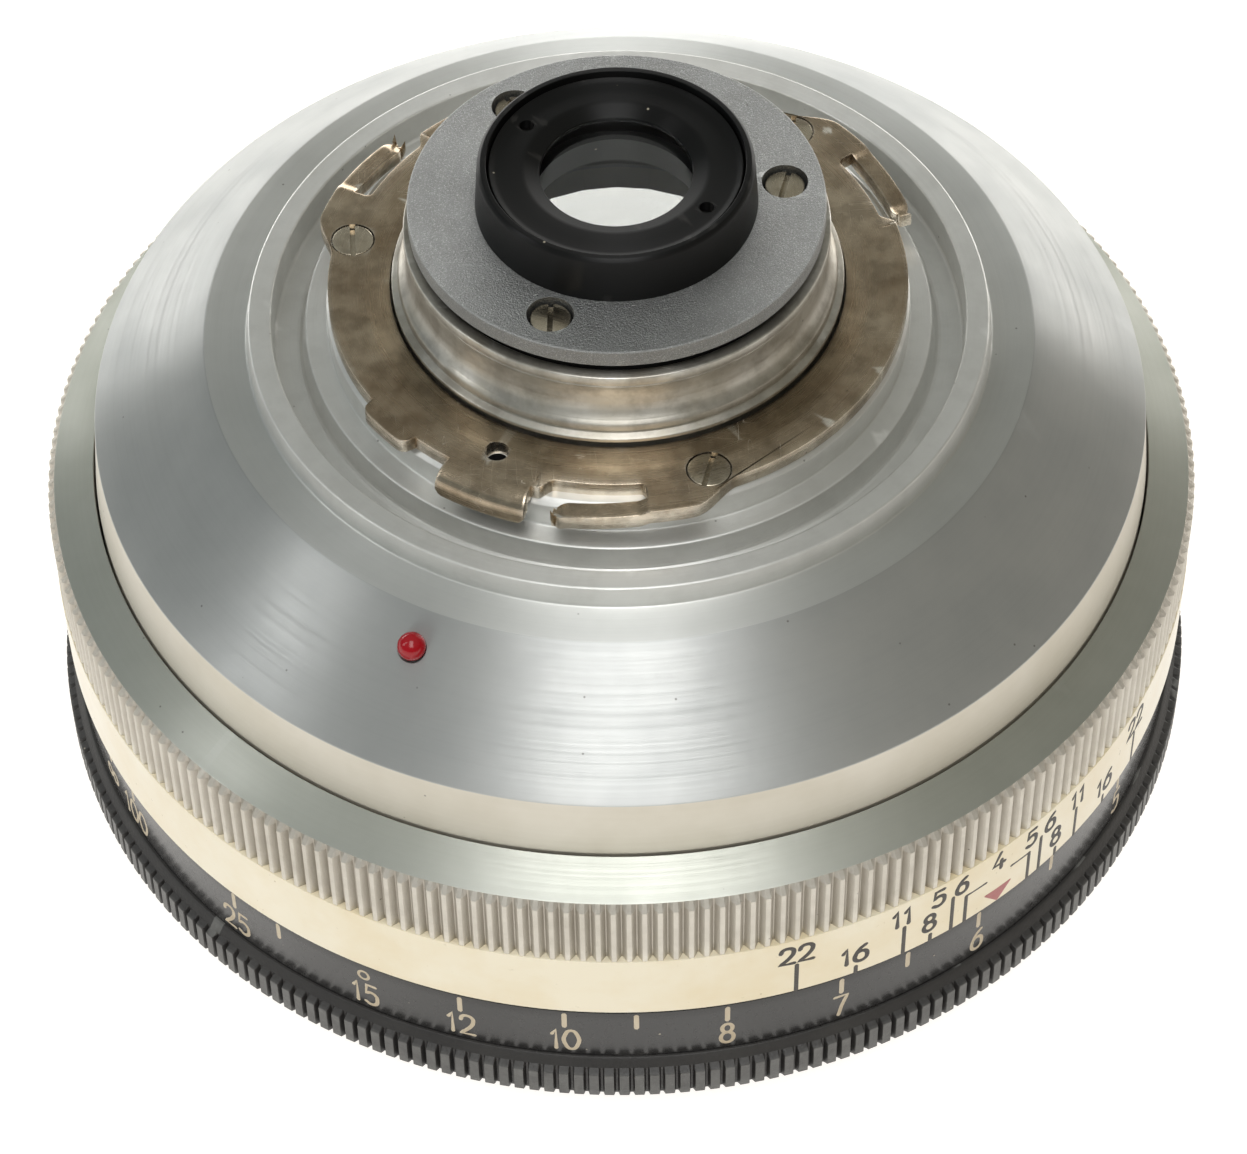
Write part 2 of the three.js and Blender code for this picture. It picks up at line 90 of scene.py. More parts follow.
# How deep the reliefs of a finish go, in metres.
GRAIN_DEPTH, LATHE_DEPTH, LACQUER_DEPTH = 0.0002, 0.00004, 0.0001
# The brown of grime, which also paints shade into corners, and the tone of dark specks.
GRIME_AND_SHADE, DARK_SPECKS = (72, 58, 40), (78, 72, 64)
# A turned piece is spun through one of this many equal sectors, and the sector is copied.
SECTORS = 8
# Vertices closer than this, in metres, are one vertex.
WELD = 1e-7


def add_object(name, data):
    made = bpy.data.objects.new(name, data)
    bpy.context.scene.collection.objects.link(made)
    return made


# ---------------- camera, floor and lights

def place_camera():
    """A long lens above the front of the table, looking down at the stepped cone."""
    pitch, roll, yaw = (math.radians(angle) for angle in (50.16, -0.98, 0.01))
    forward = Vector((math.sin(yaw) * math.cos(pitch), math.cos(yaw) * math.cos(pitch),
                      -math.sin(pitch)))
    level_right = Vector((math.cos(yaw), -math.sin(yaw), 0.0))
    level_up = level_right.cross(forward)
    right = level_right * math.cos(roll) + level_up * math.sin(roll)
    up = level_up * math.cos(roll) - level_right * math.sin(roll)
    data = bpy.data.cameras.new("camera")
    data.sensor_width = 36.0
    data.lens = 119.475
    data.clip_start = 0.01
    data.clip_end = 20.0
    camera = add_object("camera", data)
    turn = Matrix((right, up, -forward)).transposed()
    camera.matrix_world = Matrix.Translation((0.0, -0.1638, 0.2030)) @ turn.to_4x4()
    bpy.context.scene.camera = camera


def soft_light(name, direction, distance, width, height, watts, tint=(1.0, 1.0, 1.0)):
    """A rectangular soft box that faces the lens from a direction."""
    data = bpy.data.lights.new(name, "AREA")
    data.shape = "RECTANGLE"
    data.size = width
    data.size_y = height
    data.energy = watts
    data.color = tint
    light = add_object(name, data)
    away = Vector(direction).normalized()
    light.location = away * distance + Vector(LENS_MIDDLE)
    light.rotation_mode = "QUATERNION"
    light.rotation_quaternion = away.to_track_quat("Z", "Y")


def light_the_studio():
    """A long soft box overhead, a strip on the left, a pale wall behind, and air that is cooler left."""
    world = bpy.data.worlds.new("studio_air")
    world.use_nodes = True
    tree = world.node_tree
    generated = add_node(tree, "TexCoord").outputs["Generated"]
    direction = add_node(tree, "SeparateXYZ", {0: generated})
    side = remap(tree, direction.outputs[0], -0.8, 0.8)
    low_air = blend_colours(tree, side, (0.165, 0.205, 0.22, 1.0), (0.14, 0.122, 0.086, 1.0))
    high_air = blend_colours(tree, side, (0.38, 0.395, 0.385, 1.0), (0.35, 0.35, 0.315, 1.0))
    air = blend_colours(tree, remap(tree, direction.outputs[2], 0.3, 0.75), low_air, high_air)
    tree.links.new(air, tree.nodes["Background"].inputs["Color"])
    bpy.context.scene.world = world
    soft_light("top_soft_box", (0.0, -0.42, 0.9), 0.9, 0.44, 0.85, 4.4)
    soft_light("left_strip", (-0.78, -0.14, 0.61), 0.9, 0.05, 0.5, 0.85)
    soft_light("back_wall", (0.0, 0.985, 0.1), 1.2, 2.7, 0.6, 19.0, (1.0, 0.985, 0.96))
    bpy.context.scene.view_settings.view_transform = "Standard"


# ---------------- node helpers

def feed(tree, node, feeds):
    """Links each named input of a node to a socket, or sets its value."""
    for key, value in feeds.items():
        if isinstance(value, bpy.types.NodeSocket):
            tree.links.new(value, node.inputs[key])
        else:
            node.inputs[key].default_value = value


def add_node(tree, kind, feeds=None, **settings):
    node = tree.nodes.new("ShaderNode" + kind)
    for key, value in settings.items():
        setattr(node, key, value)
    feed(tree, node, feeds or {})
    return node


def maths(tree, operation, first, second=0.0):
    return add_node(tree, "Math", {0: first, 1: second}, operation=operation).outputs[0]


def times(tree, first, second):
    return maths(tree, "MULTIPLY", first, second)


def plus(tree, first, second):
    return maths(tree, "ADD", first, second)


def remap(tree, value, low, high, to_low=0.0, to_high=1.0):
    feeds = {"Value": value, "From Min": low, "From Max": high, "To Min": to_low, "To Max": to_high}
    return add_node(tree, "MapRange", feeds, clamp=True).outputs["Result"]


def blend_colours(tree, mask, first, second):
    feeds = {"Factor": mask, 6: first, 7: second}
    return add_node(tree, "Mix", feeds, data_type="RGBA").outputs[2]


def effect_group(name, inputs, outputs):
    """An empty shader node group with float inputs and outputs."""
    group = bpy.data.node_groups.new(name, "ShaderNodeTree")
    for label, default in inputs:
        socket = group.interface.new_socket(name=label, in_out="INPUT", socket_type="NodeSocketFloat")
        socket.default_value = default
    for label in outputs:
        group.interface.new_socket(name=label, in_out="OUTPUT", socket_type="NodeSocketFloat")
    return group, group.nodes.new("NodeGroupInput").outputs, group.nodes.new("NodeGroupOutput").inputs


def object_millimetres(tree):
    position = add_node(tree, "TexCoord").outputs["Object"]
    feeds = {0: position, 1: (1.0 / MM,) * 3}
    return add_node(tree, "VectorMath", feeds, operation="MULTIPLY").outputs[0]


def noise(tree, vector, scale, detail=3.0, roughness=0.6):
    feeds = {"Vector": vector, "Scale": scale, "Detail": detail, "Roughness": roughness}
    return add_node(tree, "TexNoise", feeds).outputs["Fac"]


def turned_marks_group():
    """Fine rings left by the lathe tool: they change with radius and height, and run round the axis."""
    group, given, result = effect_group("turned_marks", [("Pitch per mm", 4.0), ("Wander", 0.02)], ["Height"])
    x, y, height = add_node(group, "SeparateXYZ", {0: object_millimetres(group)}).outputs
    radius = maths(group, "SQRT", plus(group, times(group, x, x), times(group, y, y)))
    wander = noise(group, object_millimetres(group), 0.15, 1.0)
    shift = times(group, wander, given["Wander"])
    feeds = {0: plus(group, radius, shift), 1: plus(group, height, shift)}
    across = add_node(group, "CombineXYZ", feeds).outputs[0]
    group.links.new(noise(group, across, given["Pitch per mm"], 4.0, 0.75), result["Height"])
    return group


def grain_group():
    """Even fine grain, as a blasted or anodised skin has."""
    group, given, result = effect_group("fine_grain", [("Scale", 6.0)], ["Height", "Sparkle"])
    place = object_millimetres(group)
    coarse = noise(group, place, given["Scale"], 2.0, 0.7)
    group.links.new(coarse, result["Height"])
    # Painted glints: Sparkle picks the brightest specks of a finer noise.
    fine = noise(group, place, times(group, given["Scale"], 1.9), 1.0, 0.5)
    group.links.new(remap(group, fine, 0.56, 0.74), result["Sparkle"])
    return group


def specks_group():
    """Scattered dust and pits: small round spots, more of them in some places."""
    inputs = [("Scale", 0.9), ("Size", 0.09), ("Share", 0.4)]
    group, given, result = effect_group("dust_specks", inputs, ["Mask"])
    place = object_millimetres(group)
    cell = add_node(group, "TexVoronoi", {"Vector": place, "Scale": given["Scale"]}).outputs
    spot = remap(group, cell["Distance"], given["Size"], times(group, given["Size"], 0.4))
    chance = add_node(group, "SeparateColor", {0: cell["Color"]}).outputs[0]
    chosen = maths(group, "LESS_THAN", chance, given["Share"])
    group.links.new(times(group, spot, chosen), result["Mask"])
    return group


def scratches_group():
    """Thin lines that wander in one direction, broken up by a second pattern."""
    group, given, result = effect_group("hair_scratches", [("Scale", 0.9), ("Width", 0.0016)], ["Mask"])
    place = object_millimetres(group)
    lines = None
    for turn, stretch in ((0.5, (1.0, 0.09, 1.0)), (2.0, (0.08, 1.0, 1.0))):
        feeds = {"Vector": place, "Rotation": (0.0, 0.0, turn), "Scale": stretch}
        bent = add_node(group, "Mapping", feeds).outputs[0]
        value = noise(group, bent, given["Scale"], 2.0, 0.4)
        gap = maths(group, "ABSOLUTE", maths(group, "SUBTRACT", value, 0.5))
        line = remap(group, gap, given["Width"], 0.0)
        lines = line if lines is None else maths(group, "MAXIMUM", lines, line)
    broken = remap(group, noise(group, place, 0.35, 2.0), 0.52, 0.62)
    group.links.new(times(group, lines, broken), result["Mask"])
    return group


def patches_group():
    """Soft cloudy patches, for tarnish, grime and uneven sheen."""
    inputs = [("Scale", 0.2), ("From", 0.4), ("To", 0.7)]
    group, given, result = effect_group("cloudy_patches", inputs, ["Mask"])
    value = noise(group, object_millimetres(group), given["Scale"], 4.0, 0.62)
    group.links.new(remap(group, value, given["From"], given["To"]), result["Mask"])
    return group


def edge_wear_group():
    """Convex edges lightened, partly rubbed bare and partly a painted highlight, and concave corners darkened
    as painted shade.
    """
    group, given, result = effect_group("edge_light_and_wear", [("From", 0.52), ("To", 0.6)], ["Edge", "Corner shade"])
    pointed = add_node(group, "NewGeometry").outputs["Pointiness"]
    uneven = remap(group, noise(group, object_millimetres(group), 0.9, 3.0), 0.25, 0.7, 0.35, 1.0)
    # Painted highlight: rounded convex edges lighten as if they caught the light, on top of what rubbing does
    # to them.
    edge = remap(group, pointed, given["From"], given["To"])
    group.links.new(times(group, edge, uneven), result["Edge"])
    # Painted shade: concave corners darken where shade would fall.
    group.links.new(remap(group, pointed, 0.49, 0.42), result["Corner shade"])
    return group


EFFECTS = {
    "turned": turned_marks_group(),
    "grain": grain_group(),
    "specks": specks_group(),
    "scratches": scratches_group(),
    "patches": patches_group(),
    "wear_and_light": edge_wear_group(),
}


def worded(values):
    return {key.replace("_", " "): value for key, value in values.items()}


def effect(tree, name, **values):
    node = tree.nodes.new("ShaderNodeGroup")
    node.node_tree = EFFECTS[name]
    feed(tree, node, worded(values))
    return node.outputs


def new_finish(name):
    material = bpy.data.materials.new(name)
    material.use_nodes = True
    tree = material.node_tree
    return material, tree, tree.nodes["Principled BSDF"]


def set_sockets(tree, shader, **values):
    feed(tree, shader, worded(values))


def colour(red, green, blue):
    """A colour from its display values, 0 to 255, as linear light."""
    def linear(value):
        share = value / 255.0
        return share / 12.92 if share <= 0.04045 else ((share + 0.055) / 1.055) ** 2.4
    return (linear(red), linear(green), linear(blue), 1.0)


def bump(tree, shader, height, strength, distance):
    feeds = {"Height": height, "Strength": strength, "Distance": distance}
    set_sockets(tree, shader, Normal=add_node(tree, "Bump", feeds).outputs["Normal"])


def turn_grooves(tree, shader, brushed):
    """Stretches the gloss across grooves that run round the axis."""
    tangent = add_node(tree, "Tangent", direction_type="RADIAL", axis="Z").outputs[0]
    set_sockets(tree, shader, Anisotropic=brushed, Anisotropic_Rotation=0.25, Tangent=tangent)


def metal_finish(name, base, stained, bright_tone, roughness, turned=(4.0, 0.25), brushed=0.0, grain=None,
                 patch_scale=0.12, speck_share=0.25, grime_and_shade=0.0, scratch=0.0, rub_and_highlight=1.0):
    """A bare metal: lathe marks or blasted grain, cloudy tone, edges lightened for rubbing and as a painted
    highlight, corners darkened as painted shade with a film of grime, and specks.

    turned is (marks per mm, strength), and grain is (scale, strength, sparkle)."""
    material, tree, shader = new_finish(name)
    base, stained, bright_tone = (colour(*tone) for tone in (base, stained, bright_tone))
    patches = effect(tree, "patches", Scale=patch_scale, From=0.35, To=0.75)["Mask"]
    tone = blend_colours(tree, patches, base, stained)
    wear_and_light = effect(tree, "wear_and_light")
    # Painted highlight and rubbing: convex edges lighten towards the bright tone.
    tone = blend_colours(tree, times(tree, wear_and_light["Edge"], rub_and_highlight), tone, bright_tone)
    # Painted shade with grime: concave corners and cloudy patches darken towards the grime brown.
    if grime_and_shade > 0.0:
        film = effect(tree, "patches", Scale=0.55, From=0.45, To=0.62)["Mask"]
        corner = maths(tree, "MAXIMUM", wear_and_light["Corner shade"], times(tree, film, 0.55))
        tone = blend_colours(tree, times(tree, corner, grime_and_shade), tone, colour(*GRIME_AND_SHADE))
    specks = effect(tree, "specks", Scale=0.8, Size=0.07, Share=speck_share)["Mask"]
    tone = blend_colours(tree, times(tree, specks, 0.6), tone, colour(*DARK_SPECKS))
    height = effect(tree, "turned", Pitch_per_mm=turned[0])["Height"]
    uneven = times(tree, maths(tree, "SUBTRACT", height, 0.5), 0.25)
    rough = plus(tree, plus(tree, uneven, roughness), times(tree, patches, 0.06))
    if scratch > 0.0:
        lines = effect(tree, "scratches")["Mask"]
        rough = plus(tree, rough, times(tree, lines, scratch))
        tone = blend_colours(tree, times(tree, lines, scratch), tone, bright_tone)
    if grain:
        skin = effect(tree, "grain", Scale=grain[0])
        # Painted glints: the grain's sparkle specks lighten the base colour towards the bright tone.
        tone = blend_colours(tree, times(tree, skin["Sparkle"], grain[2]), tone, bright_tone)
        bump(tree, shader, skin["Height"], grain[1], GRAIN_DEPTH)
    else:
        bump(tree, shader, height, turned[1], LATHE_DEPTH)
    set_sockets(tree, shader, Base_Color=tone, Roughness=maths(tree, "MAXIMUM", rough, 0.05), Metallic=1.0)
    if brushed > 0.0:
        turn_grooves(tree, shader, brushed)
    return material


def painted_finish(name, base, aged, bright_tone, roughness, coat=0.0, grain=(5.0, 0.05), wear_and_highlight_share=0.7,
                   speck_tone=(200, 190, 170), speck_share=0.3, brushed=0.0, gloss=0.5):
    """Lacquer, anodising or enamel: aged tone, edges lightened for rubbing and as a painted highlight, fine
    grain and specks under an even gloss.
    """
    material, tree, shader = new_finish(name)
    patches = effect(tree, "patches", Scale=0.16, From=0.38, To=0.72)["Mask"]
    tone = blend_colours(tree, patches, colour(*base), colour(*aged))
    wear_and_light = effect(tree, "wear_and_light", From=0.53, To=0.62)
    # Painted highlight and rubbing: convex edges lighten towards the bright tone.
    tone = blend_colours(tree, times(tree, wear_and_light["Edge"], wear_and_highlight_share), tone, colour(*bright_tone))
    specks = effect(tree, "specks", Scale=0.7, Size=0.06, Share=speck_share)["Mask"]
    tone = blend_colours(tree, times(tree, specks, 0.7), tone, colour(*speck_tone))
    skin = effect(tree, "grain", Scale=grain[0])
    rough = plus(tree, times(tree, skin["Height"], 0.12), roughness - 0.06)
    rough = plus(tree, rough, times(tree, specks, 0.3))
    bump(tree, shader, skin["Height"], grain[1], LACQUER_DEPTH)
    set_sockets(tree, shader, Base_Color=tone, Roughness=rough, Metallic=0.0, Coat_Weight=coat,
                Coat_Roughness=0.12, Specular_IOR_Level=gloss)
    if brushed > 0.0:
        turn_grooves(tree, shader, brushed)
    return material


def glass_finish():
    """Clear coated glass that reflects little and lets lamplight through, with a thin film of dust."""
    material, tree, shader = new_finish("optical_glass")
    specks = effect(tree, "specks", Scale=1.4, Size=0.05, Share=0.25)["Mask"]
    haze = effect(tree, "patches", Scale=0.5, From=0.45, To=0.8)["Mask"]
    set_sockets(tree, shader, Roughness=plus(tree, times(tree, specks, 0.25), times(tree, haze, 0.015)),
                Base_Color=(0.992, 0.998, 0.994, 1.0), Transmission_Weight=1.0, IOR=1.6,
                Specular_IOR_Level=0.12)
    see_through = add_node(tree, "BsdfTransparent", {"Color": (0.97, 0.985, 0.975, 1.0)}).outputs[0]
    shadow_ray = add_node(tree, "LightPath").outputs["Is Shadow Ray"]
    mix = add_node(tree, "MixShader", {0: shadow_ray, 1: shader.outputs[0], 2: see_through}).outputs[0]
    tree.links.new(mix, tree.nodes["Material Output"].inputs["Surface"])
    return material


def floor_finish():
    """Pale acrylic sheet that glows softly, as if lit from below, with a painted pool of brighter glow under
    the lens.
    """
    material, tree, shader = new_finish("pale_floor")
    haze = effect(tree, "patches", Scale=0.01, From=0.2, To=0.8)["Mask"]
    tone = blend_colours(tree, haze, (0.34, 0.34, 0.34, 1.0), (0.37, 0.37, 0.365, 1.0))
    place = object_millimetres(tree)
    reach = add_node(tree, "VectorMath", {0: place}, operation="LENGTH").outputs["Value"]
    # Painted pool of light: the floor glows brighter inside 30 mm of the lens axis, fading out by 32 mm.
    glow = blend_colours(tree, remap(tree, reach, 30.0, 32.0), (1.75, 1.72, 1.66, 1.0),
                         (0.96, 0.924, 0.878, 1.0))
    set_sockets(tree, shader, Base_Color=tone, Emission_Color=glow, Roughness=0.12, Emission_Strength=1.0)
    return material


FINISH = {
    "cone": metal_finish(
        "satin_cone_aluminium", (203, 204, 202), (193, 195, 194), (235, 236, 236), 0.46, (5.0, 0.12), 0.92,
        scratch=0.03, rub_and_highlight=0.2),
    "band": metal_finish(
        "satin_band_aluminium", (222, 217, 206), (212, 206, 192), (240, 239, 234), 0.5, (5.0, 0.12), 0.5,
        scratch=0.1, rub_and_highlight=0.3),
    "slope": metal_finish(
        "satin_shoulder_aluminium", (216, 218, 210), (206, 209, 200), (235, 236, 232), 0.5, (5.0, 0.12),
        0.92, scratch=0.12, rub_and_highlight=0.2),
    "flat": metal_finish(
        "grey_anodised_aluminium", (219, 220, 217), (209, 210, 207), (250, 250, 248), 0.5, (6.0, 0.2), 0.88,
        scratch=0.1, rub_and_highlight=0.5),
    # Painted light: a lighter copy of the grey flat finish, for the rim, channel and plateau that shade in
    # the steps would leave darker.
    "step": metal_finish(
        "lightened_step_aluminium", (226, 226, 223), (212, 212, 208), (254, 254, 252), 0.46, (6.0, 0.3), 0.55,
        grime_and_shade=0.1, scratch=0.1, rub_and_highlight=0.8),
    "knurl": metal_finish(
        "silver_knurl_aluminium", (197, 192, 183), (183, 177, 166), (224, 220, 210), 0.54, (9.0, 0.6), 0.0,
        grime_and_shade=0.05, speck_share=0.4),
    "disc": metal_finish(
        "blasted_aluminium", (146, 147, 146), (137, 138, 137), (226, 227, 226), 0.46, (5.0, 0.1), 0.0,
        grain=(10.0, 0.5, 0.5), grime_and_shade=0.12, rub_and_highlight=0.5),
    "plate": metal_finish(
        "tarnished_nickel", (198, 182, 158), (140, 120, 96), (250, 244, 232), 0.24, (3.0, 0.35), 0.8,
        patch_scale=0.22, grime_and_shade=0.6, scratch=0.5),
    "neck": metal_finish(
        "neck_nickel", (204, 201, 193), (168, 162, 148), (238, 236, 230), 0.34, (3.0, 0.6), 0.7,
        patch_scale=0.25, grime_and_shade=0.5, scratch=0.3),
    "screw": metal_finish(
        "nickel_screws", (192, 182, 162), (150, 136, 112), (232, 226, 212), 0.26, (4.0, 0.3), 0.0,
        grime_and_shade=0.7),
    "spring": metal_finish("spring_steel", (170, 168, 162), (140, 136, 128), (215, 213, 208), 0.3),
    "brass": metal_finish("turned_brass", (196, 160, 96), (150, 118, 66), (226, 196, 136), 0.3, grime_and_shade=0.3),
    "black": painted_finish(
        "black_anodised", (34, 34, 35), (42, 41, 41), (120, 118, 112), 0.4, grain=(8.0, 0.2),
        wear_and_highlight_share=0.35),
    "black_knurl": painted_finish(
        "black_anodised_knurl", (46, 44, 43), (56, 54, 52), (150, 150, 146), 0.45, grain=(6.0, 0.3),
        wear_and_highlight_share=0.5),
    "cell": painted_finish(
        "black_satin_cell", (7, 7, 7), (10, 10, 10), (80, 78, 75), 0.38, grain=(10.0, 0.05),
        wear_and_highlight_share=0.25, brushed=0.88, gloss=0.24),
    "dial": painted_finish(
        "black_lacquer", (22, 21, 21), (27, 26, 25), (90, 88, 84), 0.26, coat=0.25, grain=(2.0, 0.04),
        wear_and_highlight_share=0.3, gloss=0.4),
    "cream": painted_finish(
        "cream_lacquer", (241, 231, 206), (233, 217, 181), (248, 243, 228), 0.3, coat=0.3,
        grain=(2.5, 0.05), speck_tone=(178, 158, 112)),
    "dial_paint": painted_finish(
        "beige_engraving_paint", (205, 190, 164), (186, 168, 140), (214, 202, 180), 0.5, grain=(9.0, 0.4),
        speck_tone=(120, 105, 84)),
    "band_paint": painted_finish(
        "black_engraving_paint", (40, 36, 33), (58, 52, 46), (76, 70, 62), 0.45, grain=(9.0, 0.4),
        speck_tone=(140, 130, 110)),
    "red_paint": painted_finish(
        "faded_red_paint", (170, 92, 94), (150, 76, 80), (190, 120, 116), 0.45, grain=(9.0, 0.3),
        speck_tone=(216, 196, 170)),
    "red_bead": painted_finish(
        "red_enamel", (164, 10, 26), (150, 8, 22), (190, 30, 40), 0.16, coat=0.2, grain=(2.0, 0.05),
        speck_share=0.05, gloss=0.35),
    "glass": glass_finish(),
}


# ---------------- mesh helpers

def mesh_from(bm, name):
    """Writes a bmesh out as a mesh, and lets the bmesh go."""
    mesh = bpy.data.meshes.new(name)
    bm.to_mesh(mesh)
    bm.free()
    return mesh


def add_into(target, bm):
    """Adds one bmesh to another."""
    mesh = mesh_from(bm, "added")
    target.from_mesh(mesh)
    bpy.data.meshes.remove(mesh)


def finish_piece(bm, name, finish, body, stands_for=(), sharp_angle=12.0):
    """Turns a bmesh into a piece that rides on a body, takes a finish and stands for CAD nodes."""
    mesh = mesh_from(bm, name)
    mesh.shade_smooth()
    mesh.set_sharp_from_angle(angle=math.radians(sharp_angle))
    mesh.materials.append(FINISH[finish])
    piece = add_object(name, mesh)
    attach(piece, body)
    if stands_for:
        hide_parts(*stands_for)
    return piece


def partly_finish(piece, finish, covers):
    """Gives another finish to the faces that covers(radius, height, normal) picks, in millimetres."""
    index = len(piece.data.materials)
    piece.data.materials.append(FINISH[finish])
    for face in piece.data.polygons:
        centre = face.center / MM
        if covers(math.hypot(centre.x, centre.y), centre.z, face.normal):
            face.material_index = index


def spot(radius, angle, z):
    """A place in metres, from a radius and a height in millimetres and an angle in degrees."""
    turn = math.radians(angle)
    return Vector((radius * math.cos(turn), radius * math.sin(turn), z)) * MM


def polar(co):
    """The radius in millimetres, the angle in degrees and the height in millimetres of a place."""
    return math.hypot(co.x, co.y) / MM, math.degrees(math.atan2(co.y, co.x)), co.z / MM


def verts_in(geom):
    return [item for item in geom if isinstance(item, bmesh.types.BMVert)]


def move(bm, offset):
    bmesh.ops.translate(bm, verts=bm.verts[:], vec=offset)


def turn_about(bm, verts, angle, axis="Z"):
    bmesh.ops.rotate(bm, verts=verts, cent=ORIGIN, matrix=Matrix.Rotation(angle, 3, axis))


def outwards(bm):
    bmesh.ops.recalc_face_normals(bm, faces=bm.faces[:])


def weld(bm):
    bmesh.ops.remove_doubles(bm, verts=bm.verts[:], dist=WELD)


def bevel(bm, geom, size, affect, segments=2):
    bmesh.ops.bevel(bm, geom=geom, offset=size * MM, offset_type="OFFSET", segments=segments, profile=0.5,
                    affect=affect, material=-1, clamp_overlap=True)


def spin(bm, geom, angle, steps, centre=ORIGIN, axis=AXIS):
    """Sweeps geometry through an angle, and gives back the vertices it ends on."""
    swept = bmesh.ops.spin(bm, geom=geom, cent=centre, axis=axis, dvec=ORIGIN, angle=angle, steps=steps,
                           use_merge=False, use_normal_flip=False, use_duplicate=False)
    return verts_in(swept["geom_last"])


def rounded_outline(outline, rounding):
    """A closed loop of edges through [radius, z] points. A point's third number is its own rounding."""
    bm = bmesh.new()
    corners = [bm.verts.new((point[0] * MM, 0.0, point[1] * MM)) for point in outline]
    bm.faces.new(corners)
    sizes = [point[2] if len(point) > 2 else rounding for point in outline]
    for size in sorted(set(sizes)):
        if size > 0.0:
            bevel(bm, [v for v, own in zip(corners, sizes) if own == size], size, "VERTICES", 3)
    bmesh.ops.delete(bm, geom=bm.faces[:], context="FACES_ONLY")
    for cuts in range(1, LONGEST_CUTS + 1):
        most = cuts + 1 if cuts < LONGEST_CUTS else math.inf
        long_edges = [e for e in bm.edges if cuts < e.calc_length() / (LONGEST_EDGE * MM) <= most]
        if long_edges:
            bmesh.ops.subdivide_edges(bm, edges=long_edges, cuts=cuts)
    return bm


def repeat_round(bm, count):
    """Copies a sector round the axis until count of them close the circle, then welds the seams."""
    sector_angle = TAU / count
    while count > 1:
        copies = next(factor for factor in (2, 5, count) if count % factor == 0)
        sector = bm.verts[:] + bm.edges[:] + bm.faces[:]
        for turn in range(1, copies):
            copied = bmesh.ops.duplicate(bm, geom=sector)["geom"]
            turn_about(bm, verts_in(copied), turn * sector_angle)
        sector_angle *= copies
        count //= copies
    weld(bm)
    bmesh.ops.dissolve_degenerate(bm, edges=bm.edges[:], dist=0.1 * WELD)
    outwards(bm)


def spin_round(bm, steps):
    spin(bm, bm.verts[:] + bm.edges[:], TAU / SECTORS, steps // SECTORS)
    repeat_round(bm, SECTORS)


def turned_ring(outline, rounding=0.06, steps=240):
    bm = rounded_outline(outline, rounding)
    spin_round(bm, steps)
    return bm


def knurled_ring(outline, columns, phase, rounding=0.06):
    """A turned ring with straight teeth. Each column is [share of the pitch, radius it is cut back to]."""
    bm = rounded_outline(outline, rounding)
    spin(bm, bm.verts[:] + bm.edges[:], TOOTH_PITCH, len(columns))
    for v in bm.verts:
        index = round(math.atan2(v.co.y, v.co.x) * len(columns) / TOOTH_PITCH)
        share, cut_radius = columns[index % len(columns)]
        radius = min(math.hypot(v.co.x, v.co.y), cut_radius * MM)
        angle = (index // len(columns) + share) * TOOTH_PITCH + math.radians(phase)
        v.co.x, v.co.y = radius * math.cos(angle), radius * math.sin(angle)
    repeat_round(bm, TEETH)
    return bm


def cut_away(bm, *cutters):
    """Subtracts closed cutters from a closed bmesh."""
    blank = add_object("blank", mesh_from(bm, "blank"))
    tools = [add_object("cutter", mesh_from(cutter, "cutter")) for cutter in cutters]
    for tool in tools:
        modifier = blank.modifiers.new("cut", "BOOLEAN")
        modifier.operation = "DIFFERENCE"
        modifier.solver = "EXACT"
        modifier.object = tool
    graph = bpy.context.evaluated_depsgraph_get()
    graph.update()
    cut_mesh = bpy.data.meshes.new_from_object(blank.evaluated_get(graph))
    made = bmesh.new()
    made.from_mesh(cut_mesh)
    for spent in [blank, *tools]:
        bpy.data.objects.remove(spent)
    bpy.data.meshes.remove(cut_mesh)
    weld(made)
    return made


def round_bar(radius, low, high, at_radius=0.0, angle=0.0, sides=32):
    """A closed cylinder along Z, in millimetres, at a radius and an angle in degrees."""
    bm = bmesh.new()
    bmesh.ops.create_cone(bm, cap_ends=True, segments=sides, radius1=radius * MM, radius2=radius * MM,
                          depth=(high - low) * MM)
    move(bm, spot(at_radius, angle, (low + high) / 2.0))
    return bm


def round_off(bm, test, size, longest=1.0):
    """Rounds the edges with both ends where test(place) is true, up to a longest length in metres."""
    edges = [e for e in bm.edges if all(test(v.co) for v in e.verts) and e.calc_length() < longest]
    bevel(bm, edges, size, "EDGES")


def faces_up(bm, above):
    return [f for f in bm.faces if f.normal.z > 0.9 and f.calc_center_median().z > above * MM]


def slotted_screw(head_r, head_height, slot_depth, place, slot_turn, dome):
    """A slotted cheese-head screw, with a short shank below, turned and set at its place."""
    rounding, shank_r, shank_length, overlap = 0.07, 0.55, 1.4, 0.02
    bm = round_bar(head_r, -head_height, 0.0, sides=40)
    round_off(bm, lambda co: abs(co.z) < WELD, rounding)
    bmesh.ops.inset_region(bm, faces=faces_up(bm, -0.001), thickness=0.5 * head_r * MM, depth=dome * MM)
    slot = bmesh.new()
    bmesh.ops.create_cube(slot, size=1.0)
    slot_size = Vector((4.0 * head_r, SLOT_WIDTH, 2.0 * slot_depth)) * MM
    bmesh.ops.scale(slot, vec=slot_size, verts=slot.verts[:])
    bm = cut_away(bm, slot)
    add_into(bm, round_bar(shank_r, -head_height - shank_length, -head_height + overlap, sides=20))
    turn_about(bm, bm.verts[:], math.radians(slot_turn))
    move(bm, place)
    return bm


